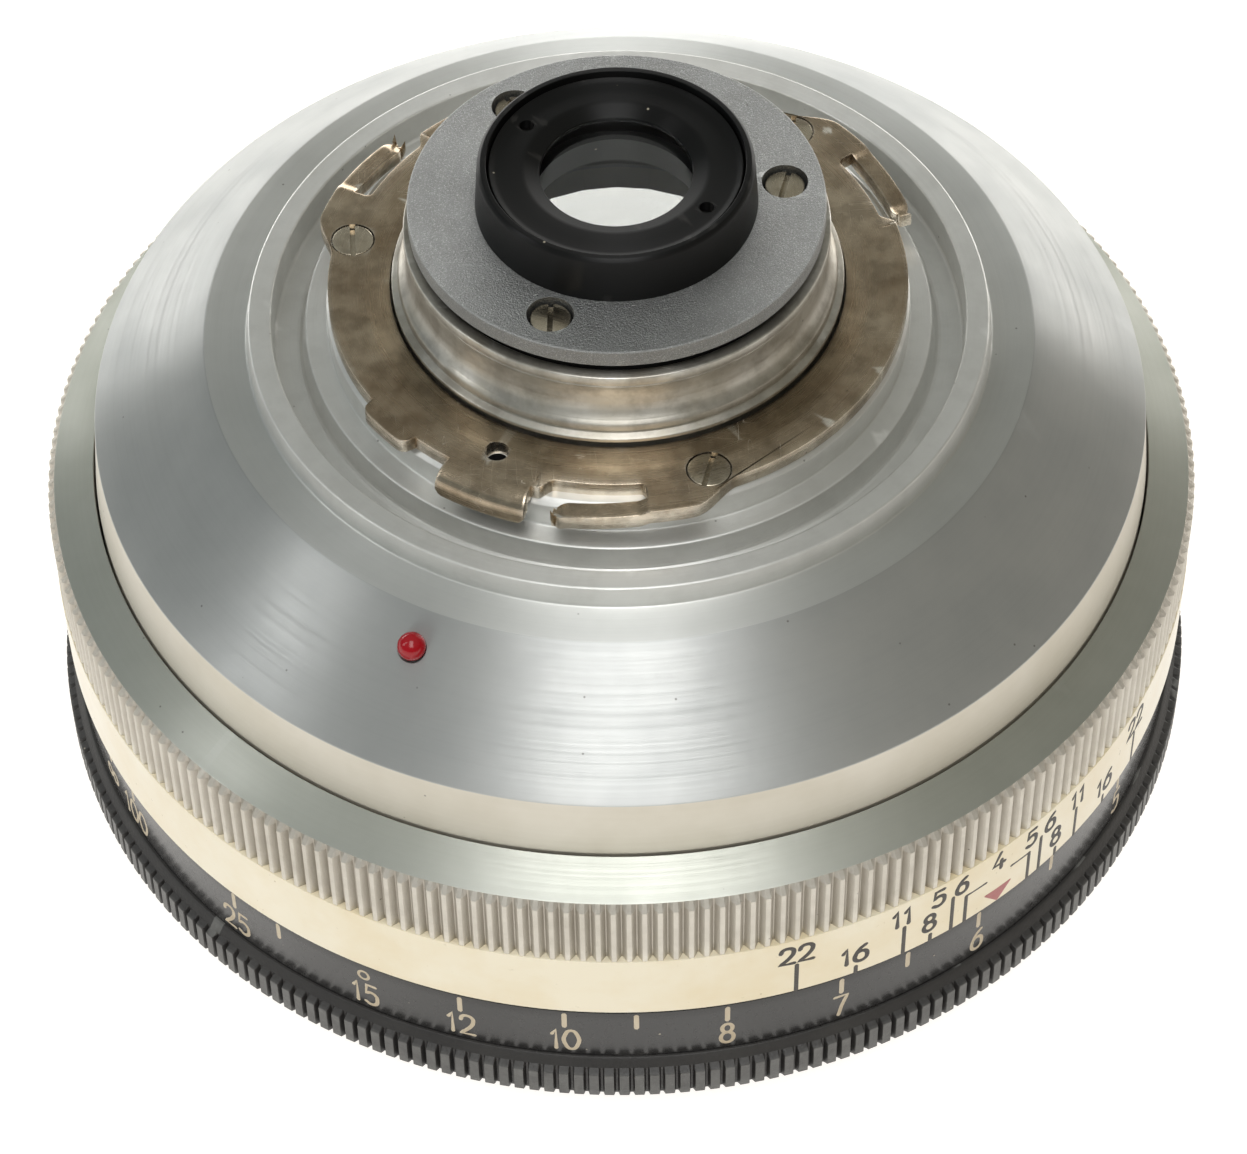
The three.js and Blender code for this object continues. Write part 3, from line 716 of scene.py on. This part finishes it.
def add_screws(kind, at_radius, angles, top_z, slot_turns, head_r, head_height, slot_depth, dome):
    for number, (angle, slot_turn) in enumerate(zip(angles, slot_turns), 1):
        screw = slotted_screw(head_r, head_height, slot_depth, spot(at_radius, angle, top_z), slot_turn, dome)
        finish_piece(screw, f"{kind}_screw_head_{number}", "screw", "lens_body",
                     [f"{kind}_screw_{number}"])


# ---------------- outer rings

def make_front_rim():
    outline = [[30.3, 0.0], [32.6, 0.0], [32.9, 0.3], [32.9, 1.15], [31.0, 1.15], [31.0, 6.0], [30.0, 6.0]]
    bore_r, top_crest, thread_pitch, thread_depth, flank = 30.0, 5.4, 0.75, 0.28, 0.32
    for turn in range(6):
        crest = top_crest - turn * thread_pitch
        outline += [[bore_r, crest, 0.0], [bore_r + thread_depth, crest - flank, 0.0],
                    [bore_r, crest - 2.0 * flank, 0.0]]
    outline += [[bore_r, 0.35]]
    finish_piece(turned_ring(outline, 0.05), "filter_rim_detail", "black", "lens_body",
                 ["filter_rim"])


def make_distance_ring():
    dial = [[31.8, 1.45], [33.0, 1.45], [33.0, 4.5], [DIAL_R, 4.5], [DIAL_R, 8.78, 0.03], [33.5, 9.0, 0.03],
            [31.8, 9.0]]
    finish_piece(turned_ring(dial, 0.04, 320), "dial_sleeve", "dial", "distance_ring",
                 ["distance_dial"])
    tip = BLACK_TIP_R
    root = tip - 0.42
    grip = [[33.1, 1.45], [root - 0.1, 1.45, 0.02], [root, 1.5, 0.0], [tip, 1.75, 0.1], [tip, 3.78, 0.05],
            [root, 3.98, 0.0], [33.95, 4.34, 0.05], [33.82, 4.5, 0.04], [33.1, 4.5]]
    columns = ((0.0, root + 0.25), (0.05, tip), (0.66, tip), (0.71, root + 0.25), (0.78, root), (0.93, root))
    groove_angle, groove_share = -92.885, 0.83
    finish_piece(knurled_ring(grip, columns, groove_angle - groove_share * TOOTH_DEGREES), "distance_knurl",
                 "black_knurl", "distance_ring", ["distance_grip_ring"])


def make_grip_ring():
    band = [[32.95, 9.35], [SCALE_R, 9.35, 0.09], [SCALE_R, 14.31, 0.05], [32.95, 14.31]]
    finish_piece(turned_ring(band, 0.05, 320), "depth_scale_band", "cream", "lens_body",
                 ["grip_ring"])
    tip = SILVER_TIP_R
    root = tip - 0.4
    grip = [[31.7, 10.4], [32.9, 10.4], [32.9, 14.31, 0.0], [tip, 14.31, 0.0], [tip, 18.8, 0.03],
            [root, 19.22, 0.0], [31.16, 20.3, 0.08], [31.16, 16.3], [31.7, 16.3]]
    columns = ((0.0, root + 0.12), (0.22, tip), (0.52, tip), (0.68, root + 0.2), (0.83, root), (0.91, root))
    groove_angle, groove_share = -92.165, 0.86
    piece = finish_piece(knurled_ring(grip, columns, groove_angle - groove_share * TOOTH_DEGREES),
                         "grip_knurl", "knurl", "lens_body", ["grip_ring"])
    partly_finish(piece, "slope", lambda reach, height, normal: normal.z > 0.6 and height > 19.1)


# ---------------- housing and mount

def make_housing():
    outer = [[31.0, 8.0], [31.0, 20.3, 0.0], [31.02, 20.36, 0.0], [30.67, 24.2, 0.07], [23.85, 29.74, 0.09],
             [21.4, 29.74, 0.12], [21.2, 31.07, 0.1], [19.9, 31.07, 0.1], [19.85, 29.1, 0.2],
             [18.25, 29.1, 0.3], [17.95, 30.6, 0.1], [16.65, 30.6, 0.12], [16.65, 32.15, 0.05],
             [16.25, 32.5, 0.05], [12.92, 32.5], [12.92, 30.0], [15.25, 30.0], [15.25, 27.6],
             [22.3, 27.6], [28.6, 22.6], [29.7, 21.5], [29.7, 8.0]]
    bm = turned_ring(outer, 0.06, 288)
    lean = 0.85 * math.atan2(30.67 - 23.85, 29.74 - 24.28)
    hole = round_bar(MARK_BEAD_R + 0.06, -0.9, 3.0, sides=40)
    turn_about(hole, hole.verts[:], lean, "Y")
    move(hole, Vector((MARK_R, 0.0, MARK_Z)) * MM)
    turn_about(hole, hole.verts[:], math.radians(MARK_ANGLE))
    bm = cut_away(bm, hole, round_bar(0.62, 30.5, 33.0, PLATE_HOLE_R, PLATE_HOLE_ANGLE, 32))
    piece = finish_piece(bm, "rear_housing_body", "cone", "lens_body", ["rear_housing"])
    partly_finish(piece, "flat", lambda reach, height, normal: reach < 23.8 and height > 29.3)
    # Painted light: the steps inside 21.45 mm take the lighter step finish.
    partly_finish(piece, "step", lambda reach, height, normal: reach < 21.45 and height > 28.9)
    partly_finish(piece, "band", lambda reach, height, normal: reach > 30.6 and height < 24.15)
    # Painted shade: the walls of the hole cut under the plate's hole take the black finish, so the hole reads
    # dark.
    partly_finish(piece, "black",
                  lambda reach, height, normal: 14.0 < reach < 15.6 and 30.4 < height < 32.45)


def make_mount_mark():
    bm = bmesh.new()
    bmesh.ops.create_uvsphere(bm, u_segments=40, v_segments=24, radius=MARK_BEAD_R * MM)
    move(bm, spot(MARK_R, MARK_ANGLE, MARK_Z + 0.12))
    finish_piece(bm, "red_mount_bead", "red_bead", "lens_body", ["mount_mark"])


def make_neck():
    outline = [[11.1, 28.3], [15.0, 28.3], [15.0, 29.9], [12.6, 29.9], [12.6, 33.5, 0.03],
               [12.85, 33.56, 0.04], [12.85, 33.82, 0.06], [12.45, 33.92, 0.03],
               [12.42, 34.02, 0.02], [12.5, 34.12, 0.04],
               [12.42, 34.5, 0.1], [11.95, 34.95, 0.4], [11.74, 35.9, 0.5], [11.82, 36.8, 0.2],
               [11.92, 37.02, 0.02], [11.86, 37.1, 0.02], [12.0, 37.2, 0.03], [12.0, 37.8, 0.09],
               [11.35, 37.8, 0.08], [11.1, 37.55, 0.05]]
    finish_piece(turned_ring(outline, 0.06, 240), "neck_barrel", "neck", "lens_body",
                 ["neck_tube"], 32.0)


def smooth_share(value):
    value = max(0.0, min(1.0, value))
    return value * value * (3.0 - 2.0 * value)


def rounded_share(run, length):
    """How far out a quarter-round end has come after a run from its tip."""
    return math.sqrt(1.0 - (1.0 - max(0.0, min(1.0, run / length))) ** 2)


def about(low, value, high):
    return low - 0.1 < value < high + 0.1


def make_bayonet_plate():
    """A flat ring with three lugs that carry spring tongues, a bent claw and a short tooth.

    Radii are in millimetres and angles in degrees. Lug angles are counted from the lug's own screw."""
    levels = (12.95, 14.18, 14.3, 15.0, 15.75, 16.1, 16.5, 16.75, 17.0, 17.15, 17.3, 17.45, 17.6, 17.85,
              18.1, 18.35)
    edge_r, slot_r, tongue_r, lug_r, short_r = 16.5, 15.75, 16.75, 17.85, 17.3
    slot_end, tongue_tip, tongue_root, lug_end = -34.2, -30.3, -13.2, 4.8
    claw_from, claw_to = -124.8, -107.4
    short_from, short_to = -146.4, -133.2
    arc_of_slot, arc_of_edge, arc_of_tongue = 0.28, 0.3, 0.302  # millimetres a degree
    near = 0.01
    step = 0.6

    bm = bmesh.new()
    line = [bm.verts.new((level * MM, 0.0, 0.0)) for level in levels]
    for first, second in zip(line, line[1:]):
        bm.edges.new((first, second))
    spin_round(bm, round(360.0 / step))

    def from_screw(angle):
        offsets = [(angle - screw + 180.0) % 360.0 - 180.0 for screw in LUG_ANGLES]
        return min(offsets, key=lambda offset: abs(offset + 15.0))

    def kept(radius, angle):
        along = from_screw(angle)
        if radius < slot_r or claw_from < angle < claw_to:
            return True
        if short_from < angle < short_to:
            return radius < short_r
        if radius > lug_r or slot_end < along < tongue_tip:
            return False
        if tongue_tip < along < tongue_root and radius < tongue_r:
            return False
        return tongue_tip < along < lug_end or radius < edge_r

    waste = [face for face in bm.faces if not kept(*polar(face.calc_center_median())[:2])]
    bmesh.ops.delete(bm, geom=waste, context="FACES")

    for v in bm.verts:
        radius, angle, height = polar(v.co)
        along = from_screw(angle)
        reach = radius
        if about(claw_from, angle, claw_to):
            base_r, rounding = 17.0, 0.35
            run = min(angle - claw_from, claw_to - angle) * arc_of_edge
            if radius > base_r and run < rounding:
                reach = base_r + (radius - base_r) * (0.72 + 0.28 * math.sin(0.5 * math.pi * run / rounding))
        elif about(short_from, angle, short_to):
            run = min(angle - short_from, short_to - angle) * arc_of_edge
            if radius > edge_r:
                reach = edge_r + (radius - edge_r) * rounded_share(run, 0.7)
        elif radius > edge_r - near and along > tongue_root - 0.1:
            reach = edge_r + (radius - edge_r) * (1.0 - smooth_share((along + 5.5) / 10.4))
        elif tongue_tip - 0.2 < along < tongue_root + 0.1 and radius > tongue_r - near:
            run = (along - tongue_tip) * arc_of_tongue
            if run < 0.55:
                middle = 0.5 * (tongue_r + lug_r)
                reach = middle + (radius - middle) * rounded_share(run, 0.55)
        if abs(radius - slot_r) < near and slot_end - 0.1 < along < tongue_root + 0.2:
            left_run = (along - slot_end) * arc_of_slot
            if left_run < 0.8:
                reach = slot_r + 0.75 * (1.0 - smooth_share(left_run / 0.8))
            right_run = (tongue_root - along) * arc_of_slot
            if right_run < 0.3:
                reach = slot_r + 0.3 * (1.0 - rounded_share(right_run, 0.3))
        if reach != radius:
            v.co.x *= reach / radius
            v.co.y *= reach / radius
    bmesh.ops.remove_doubles(bm, verts=bm.verts[:], dist=1.5e-5)
    bmesh.ops.dissolve_degenerate(bm, edges=bm.edges[:], dist=1e-6)
    bmesh.ops.delete(bm, geom=[v for v in bm.verts if not v.link_faces], context="VERTS")

    outwards(bm)
    if sum(face.normal.z for face in bm.faces) < 0.0:
        bmesh.ops.reverse_faces(bm, faces=bm.faces[:])
    rounding = 0.07
    lifted = bmesh.ops.extrude_face_region(bm, geom=bm.faces[:])["geom"]
    bmesh.ops.translate(bm, verts=verts_in(lifted), vec=(0.0, 0.0, (PLATE_THICKNESS - rounding) * MM))
    outwards(bm)
    for above, inwards, upwards in ((0.5, 0.3, 0.7), (0.85, 0.7, 0.3)):
        bmesh.ops.inset_region(bm, faces=faces_up(bm, above), thickness=inwards * rounding * MM,
                               depth=upwards * rounding * MM, use_boundary=True, use_even_offset=True)

    bend_r, inner_bend, lip_r, lip_drop = 16.95, 0.12, 14.25, 0.05
    tongue_start = -13.0
    for v in bm.verts:
        radius, angle, height = polar(v.co)
        along = from_screw(angle)
        reach = radius
        in_claw = about(claw_from, angle, claw_to)
        if radius < lip_r and height > 0.5:
            height -= lip_drop
        if in_claw and radius > bend_r:
            thick = height * 0.86 + 0.14 * PLATE_THICKNESS
            run = radius - bend_r
            turn_length = (inner_bend + 0.4) * 0.5 * math.pi
            swing = min(run / turn_length, 1.0) * 0.5 * math.pi
            past = max(0.0, run - turn_length)
            reach = bend_r + (inner_bend + thick) * math.sin(swing)
            height = (inner_bend + thick) * math.cos(swing) - inner_bend - past
        elif not in_claw and radius > tongue_r - 2.0 * near and tongue_tip - 0.3 < along < tongue_start:
            share = (tongue_start - along) / (tongue_start - tongue_tip)
            drop = 0.16 * smooth_share(share / 0.12) + 0.42 * share
            height -= drop + 0.2 * smooth_share((share - 0.84) / 0.16)
        scale = reach / radius
        v.co = Vector((v.co.x * scale, v.co.y * scale, (height + PLATE_TOP_Z - PLATE_THICKNESS) * MM))
    outwards(bm)

    cutters = [round_bar(1.27, 32.0, 34.0, PLATE_SCREW_R, angle, 40) for angle in LUG_ANGLES]
    cutters.append(round_bar(0.7, 32.0, 34.0, PLATE_HOLE_R, PLATE_HOLE_ANGLE, 32))
    bm = cut_away(bm, *cutters)
    finish_piece(bm, "bayonet_ring", "plate", "lens_body", ["bayonet_plate"], 28.0)
    add_screws("plate", PLATE_SCREW_R, LUG_ANGLES, PLATE_TOP_Z - 0.02, (75.0, 84.0, 93.0), 1.2, 0.75,
               0.4, 0.05)


# ---------------- rear disc, cell and glass

def make_rear_disc():
    outline = [[6.75, 38.5], [11.7, 38.5, 0.04], [11.7, DISC_TOP_Z, 0.1], [6.75, DISC_TOP_Z]]
    bm = turned_ring(outline, 0.04, 240)
    hole_r = 1.3
    bm = cut_away(bm, *[round_bar(hole_r, 38.0, 40.0, DISC_SCREW_R, angle, 40)
                        for angle in DISC_SCREW_ANGLES])

    def on_hole_rim(co):
        if abs(co.z - DISC_TOP_Z * MM) > 2e-6:
            return False
        centres = [spot(DISC_SCREW_R, angle, 0.0) for angle in DISC_SCREW_ANGLES]
        return any(abs(math.hypot(co.x - c.x, co.y - c.y) - hole_r * MM) < 2e-5 for c in centres)

    round_off(bm, on_hole_rim, 0.08, 0.4 * MM)
    finish_piece(bm, "rear_disc_face", "disc", "lens_body", ["rear_disc"])
    add_screws("disc", DISC_SCREW_R, DISC_SCREW_ANGLES, DISC_TOP_Z - 0.3, (88.0, 75.0, 115.0), 1.12, 0.6,
               0.32, 0.1)


def make_rear_cell():
    outline = [[4.6, 34.5], [6.65, 34.5], [6.65, DISC_TOP_Z, 0.0], [7.9, DISC_TOP_Z, 0.03], [7.7, 42.3, 0.1],
               [7.5, 42.5, 0.05], [7.2, 42.5, 0.04], [7.15, 41.1], [5.35, 41.1], [5.35, 37.9], [4.6, 37.9]]
    finish_piece(turned_ring(outline, 0.05, 200), "rear_cell_barrel", "cell", "lens_body",
                 ["rear_cell"])
    ring = [[4.24, 41.45], [5.1, 41.2], [7.05, 41.2], [7.05, 42.22, 0.08], [6.7, 42.1, 0.1],
            [5.15, 42.1, 0.15], [4.24, 41.7, 0.05]]
    bm = turned_ring(ring, 0.04, 200)
    bm = cut_away(bm, *[round_bar(0.42, 41.5, 43.0, 5.95, angle, 28) for angle in SPANNER_HOLE_ANGLES])
    finish_piece(bm, "rear_lock_ring_turned", "cell", "lens_body", ["rear_lock_ring"])


def surface_line(bm, edge_r, vertex, curvature):
    """Draws half of a lens surface from its pole, and gives back its rim vertex."""
    pole = bm.verts.new((0.0, 0.0, vertex * MM))
    half_angle = math.asin(edge_r / abs(curvature))
    swing = -half_angle if curvature > 0.0 else half_angle
    centre = (0.0, 0.0, (vertex + curvature) * MM)
    return spin(bm, [pole], swing, GLASS_LINE_STEPS, centre, (0.0, 1.0, 0.0))[0]


def lens_bmesh(edge_r, front, rear):
    """A closed lens. Each surface is (vertex z, radius of curvature), positive when its centre is above."""
    bm = bmesh.new()
    bm.edges.new((surface_line(bm, edge_r, *front), surface_line(bm, edge_r, *rear)))
    spin_round(bm, GLASS_STEPS)
    return bm


def stepped_rear_glass():
    """The thick rear element: a narrow front part, a shoulder it sits on, and a weakly domed rear face."""
    bm = bmesh.new()
    front_z, wide_r = 34.7, 5.2
    corners = ((0.0, front_z), (GLASS_NARROW_R, front_z), (GLASS_NARROW_R, GLASS_STEP_Z),
               (wide_r, GLASS_STEP_Z))
    line = [bm.verts.new((radius * MM, 0.0, height * MM)) for radius, height in corners]
    line.append(surface_line(bm, wide_r, 41.3, -42.0))
    for first, second in zip(line, line[1:]):
        bm.edges.new((first, second))
    spin_round(bm, GLASS_STEPS)
    return bm


def make_glass():
    elements = (
        ("fourth_glass", "fourth_element", (9.6, (28.9, 150.0), (31.6, 60.0))),
        ("third_glass", "third_element", (19.6, (18.2, 45.0), (22.0, 70.0))),
        ("second_glass", "second_element", (25.0, (14.85, -90.0), (17.1, -200.0))),
        ("front_glass", "front_element", (25.0, (4.6, 62.0), (14.8, -90.0))),
    )
    pieces = [finish_piece(lens_bmesh(*shape), name, "glass", "lens_body", [node], 40.0)
              for name, node, shape in elements]
    pieces.append(finish_piece(stepped_rear_glass(), "rear_glass", "glass", "lens_body",
                               ["rear_element"], 40.0))
    for piece in pieces:
        partly_finish(piece, "cell", lambda reach, height, normal: abs(normal.z) < 0.2)
    partly_finish(pieces[-1], "cell", lambda reach, height, normal: (
        reach > GLASS_NARROW_R and abs(height - GLASS_STEP_Z) < 0.1))


def make_name_ring():
    outline = [[24.4, 6.2, 0.05], [29.7, 4.8, 0.05], [29.7, 6.5], [24.4, 6.5]]
    finish_piece(turned_ring(outline, 0.05, 240), "front_bezel", "black", "lens_body",
                 ["name_ring"])


# ---------------- engraved marks

# Each numeral is a list of strokes: whether it is closed, a letter a point (A curved, V straight), and the
# points, in hundredths of the numeral's width and height.
NUMERALS = {
    "0": [(True, "AAAAAA", ((50, 100), (94, 74), (94, 26), (50, 0), (6, 26), (6, 74)))],
    "1": [(False, "VVV", ((12, 76), (62, 100), (62, 0)))],
    "2": [(False, "AAAAAAVV", ((4, 74), (18, 94), (52, 100), (86, 92), (94, 70), (72, 42), (0, 0),
                               (100, 0)))],
    "4": [(False, "VVV", ((60, 100), (0, 30), (100, 30))),
          (False, "VV", ((70, 52), (70, 0)))],
    "5": [(False, "VVVAAAAAA", ((90, 100), (20, 100), (10, 55), (46, 64), (86, 56), (97, 32), (82, 8),
                                (42, 0), (4, 10)))],
    "6": [(False, "AAAAAAAAAAAA", ((84, 97), (46, 82), (16, 55), (4, 30), (16, 8), (50, 0), (84, 8),
                                   (96, 31), (84, 54), (50, 62), (18, 53), (6, 34)))],
    "7": [(False, "VVAA", ((2, 100), (98, 100), (60, 50), (36, 0)))],
    "8": [(True, "AAAA", ((50, 100), (86, 78), (50, 55), (14, 78))),
          (True, "AAAA", ((50, 55), (95, 28), (50, 0), (5, 28)))],
    "~": [(True, "AAAAAAAA", ((50, 50), (80, 78), (110, 50), (80, 22), (50, 50), (20, 78), (-10, 50),
                              (20, 22)))],
    "o": [(True, "AAAA", ((50, 100), (95, 50), (50, 0), (5, 50)))],
}
STROKE_RELIEF = 0.16
WIDTH_OF_ONE = 0.55


def stroke_bmesh(strokes, width):
    """Round-ended strokes in the XY plane, in millimetres, low and domed like paint in a cut groove."""
    bm = bmesh.new()
    for closed, handles, points in strokes:
        curve = bpy.data.curves.new("stroke", "CURVE")
        curve.dimensions = "3D"
        curve.resolution_u = 5
        curve.bevel_depth = 0.5 * width * MM
        curve.bevel_resolution = 1
        curve.use_fill_caps = True
        spline = curve.splines.new("BEZIER")
        spline.bezier_points.add(len(points) - 1)
        spline.use_cyclic_u = closed
        for knot, kind, (x, y) in zip(spline.bezier_points, handles, points):
            knot.co = (x * MM, y * MM, 0.0)
            knot.handle_left_type = knot.handle_right_type = "AUTO" if kind == "A" else "VECTOR"
        holder = add_object("stroke", curve)
        mesh = bpy.data.meshes.new_from_object(holder)
        bm.from_mesh(mesh)
        bpy.data.objects.remove(holder)
        bpy.data.meshes.remove(mesh)
        bpy.data.curves.remove(curve)
        if not closed:
            for x, y in (points[0], points[-1]):
                bmesh.ops.create_icosphere(bm, subdivisions=1, radius=0.5 * width * MM,
                                           matrix=Matrix.Translation((x * MM, y * MM, 0.0)))
    weld(bm)
    outwards(bm)
    bmesh.ops.scale(bm, vec=(1.0, 1.0, STROKE_RELIEF), verts=bm.verts[:])
    return bm


def wrap_onto(bm, radius, angle, z):
    """Lays flat marks on a cylinder. The angle is in degrees from the front, growing to the right."""
    for v in bm.verts:
        turn = math.radians(angle - 90.0) + v.co.x / (radius * MM)
        reach = radius * MM + v.co.z
        v.co = Vector((reach * math.cos(turn), reach * math.sin(turn), z * MM + v.co.y))


def scaled(strokes, width, height, shift):
    return [(closed, kinds, [(x / 100 * width + shift, y / 100 * height) for x, y in points])
            for closed, kinds, points in strokes]


def add_number(into, text, radius, angle, base_z, height, stroke, digit_width, gap):
    widths = [digit_width * (WIDTH_OF_ONE if letter == "1" else 1.0) for letter in text]
    shift = -0.5 * (sum(widths) + gap * (len(text) - 1))
    for letter, width in zip(text, widths):
        add_strokes(into, scaled(NUMERALS[letter], width, height, shift), stroke, radius, angle, base_z)
        shift += width + gap


def add_strokes(into, strokes, stroke, radius, angle, z):
    bm = stroke_bmesh(strokes, stroke)
    wrap_onto(bm, radius, angle, z)
    add_into(into, bm)


def upright(height):
    return [(False, "VV", ((0.0, 0.0), (0.0, height)))]


def make_distance_marks():
    """Feet numerals and ticks on the black dial: each stands where its distance meets the index."""
    infinity_angle, travel, shortest_gap = -65.4, 560.6, 0.5

    def dial_angle(feet):
        return infinity_angle + travel / (feet - shortest_gap)

    marks = bmesh.new()
    low, height, stroke = 5.05, 1.85, 0.25
    tick_low, tick, tick_stroke = 7.3, 1.2, 0.3
    for feet in (100, 25, 15, 12, 10, 8, 7, 6, 5):
        add_number(marks, str(feet), DIAL_R, dial_angle(feet), low, height, stroke, 0.82, 0.3)
    add_number(marks, "~", DIAL_R, infinity_angle, low + 0.2, 1.5, stroke, 1.3, 0.3)
    for feet in (100, 25, 20, 12, 10, 9, 8, 7, 6.5, 6, 5.5, 5):
        add_strokes(marks, upright(tick), tick_stroke, DIAL_R, dial_angle(feet), tick_low)
    add_number(marks, "o", DIAL_R, dial_angle(15), 7.4, 0.75, 0.18, 0.72, 0.0)
    add_strokes(marks, upright(tick), tick_stroke, DIAL_R, infinity_angle, tick_low)
    finish_piece(marks, "distance_marks", "dial_paint", "distance_ring")


def make_depth_marks():
    """Black depth-of-field ticks and numerals on the cream band, the same on both sides of the index."""
    index_angle, degrees_per_f, bottom, arm_length = 38.1, 1.01, 9.42, 1.45
    marks = bmesh.new()
    for f_number, top in ((22, 11.95), (16, 10.0), (11, 11.95), (8, 10.0), (5.6, 12.45), (4, 11.85)):
        for side in (-1.0, 1.0):
            angle = index_angle + side * (degrees_per_f * f_number)
            add_strokes(marks, upright(top - bottom), 0.27, SCALE_R, angle, bottom)
            if f_number == 4:
                arm = [(False, "VV", ((0.0, 0.0), (-side * arm_length, 0.06)))]
                add_strokes(marks, arm, 0.2, SCALE_R, angle, top)
    height, stroke, width, gap = 1.5, 0.3, 0.84, 0.28
    for text, angles, base in (("22", (15.85, 60.3), 12.2), ("16", (21.8, 54.3), 10.42),
                               ("11", (26.7, 49.3), 12.2), ("8", (29.85, 46.1), 10.42), ("4", (38.0,), 12.5)):
        for angle in angles:
            add_number(marks, text, SCALE_R, angle, base, height, stroke, width, gap)
    for text, angle in (("5", 30.75), ("6", 33.45), ("5", 42.3), ("6", 45.0)):
        add_number(marks, text, SCALE_R, angle, 12.45, 1.4, stroke, 0.8, gap)
    finish_piece(marks, "depth_marks", "band_paint", "lens_body")

    bm = bmesh.new()
    corners = ((-1.05, 1.22), (0.0, 0.02), (1.05, 1.22))
    triangle = [bm.verts.new((x * MM, y * MM, -0.03 * MM)) for x, y in corners]
    bm.faces.new(triangle)
    bevel(bm, triangle, 0.1, "VERTICES")
    lifted = bmesh.ops.extrude_face_region(bm, geom=bm.faces[:])["geom"]
    bmesh.ops.translate(bm, verts=verts_in(lifted), vec=(0.0, 0.0, 0.05 * MM))
    outwards(bm)
    wrap_onto(bm, SCALE_R, index_angle, bottom)
    finish_piece(bm, "index_triangle", "red_paint", "lens_body")


# ---------------- assembly

def finish_hidden_nodes():
    """The CAD pieces inside keep their shape and take a finish."""
    finishes = {
        "front_barrel": "black", "stop_pin": "spring", "drag_spring": "spring", "neck_lock_ring": "brass",
        "disc_carrier": "cell", "inner_barrel": "cell", "third_element_ring": "cell",
        "fourth_element_ring": "brass", "front_cell": "cell", "front_retaining_ring": "cell",
    }
    for node, finish in finishes.items():
        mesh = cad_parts[node].data
        mesh.materials.clear()
        mesh.materials.append(FINISH[finish])


def lay_floor():
    bm = bmesh.new()
    reach, gap = 3.0, 0.00002
    bmesh.ops.create_grid(bm, x_segments=2, y_segments=2, size=reach)
    mesh = mesh_from(bm, "floor")
    mesh.materials.append(floor_finish())
    floor = add_object("floor", mesh)
    floor.location.z = cad_box[0].z - gap


place_camera()
light_the_studio()
lay_floor()
make_front_rim()
make_distance_ring()
make_grip_ring()
make_housing()
make_mount_mark()
make_neck()
make_bayonet_plate()
make_rear_disc()
make_rear_cell()
make_glass()
make_name_ring()
make_distance_marks()
make_depth_marks()
finish_hidden_nodes()
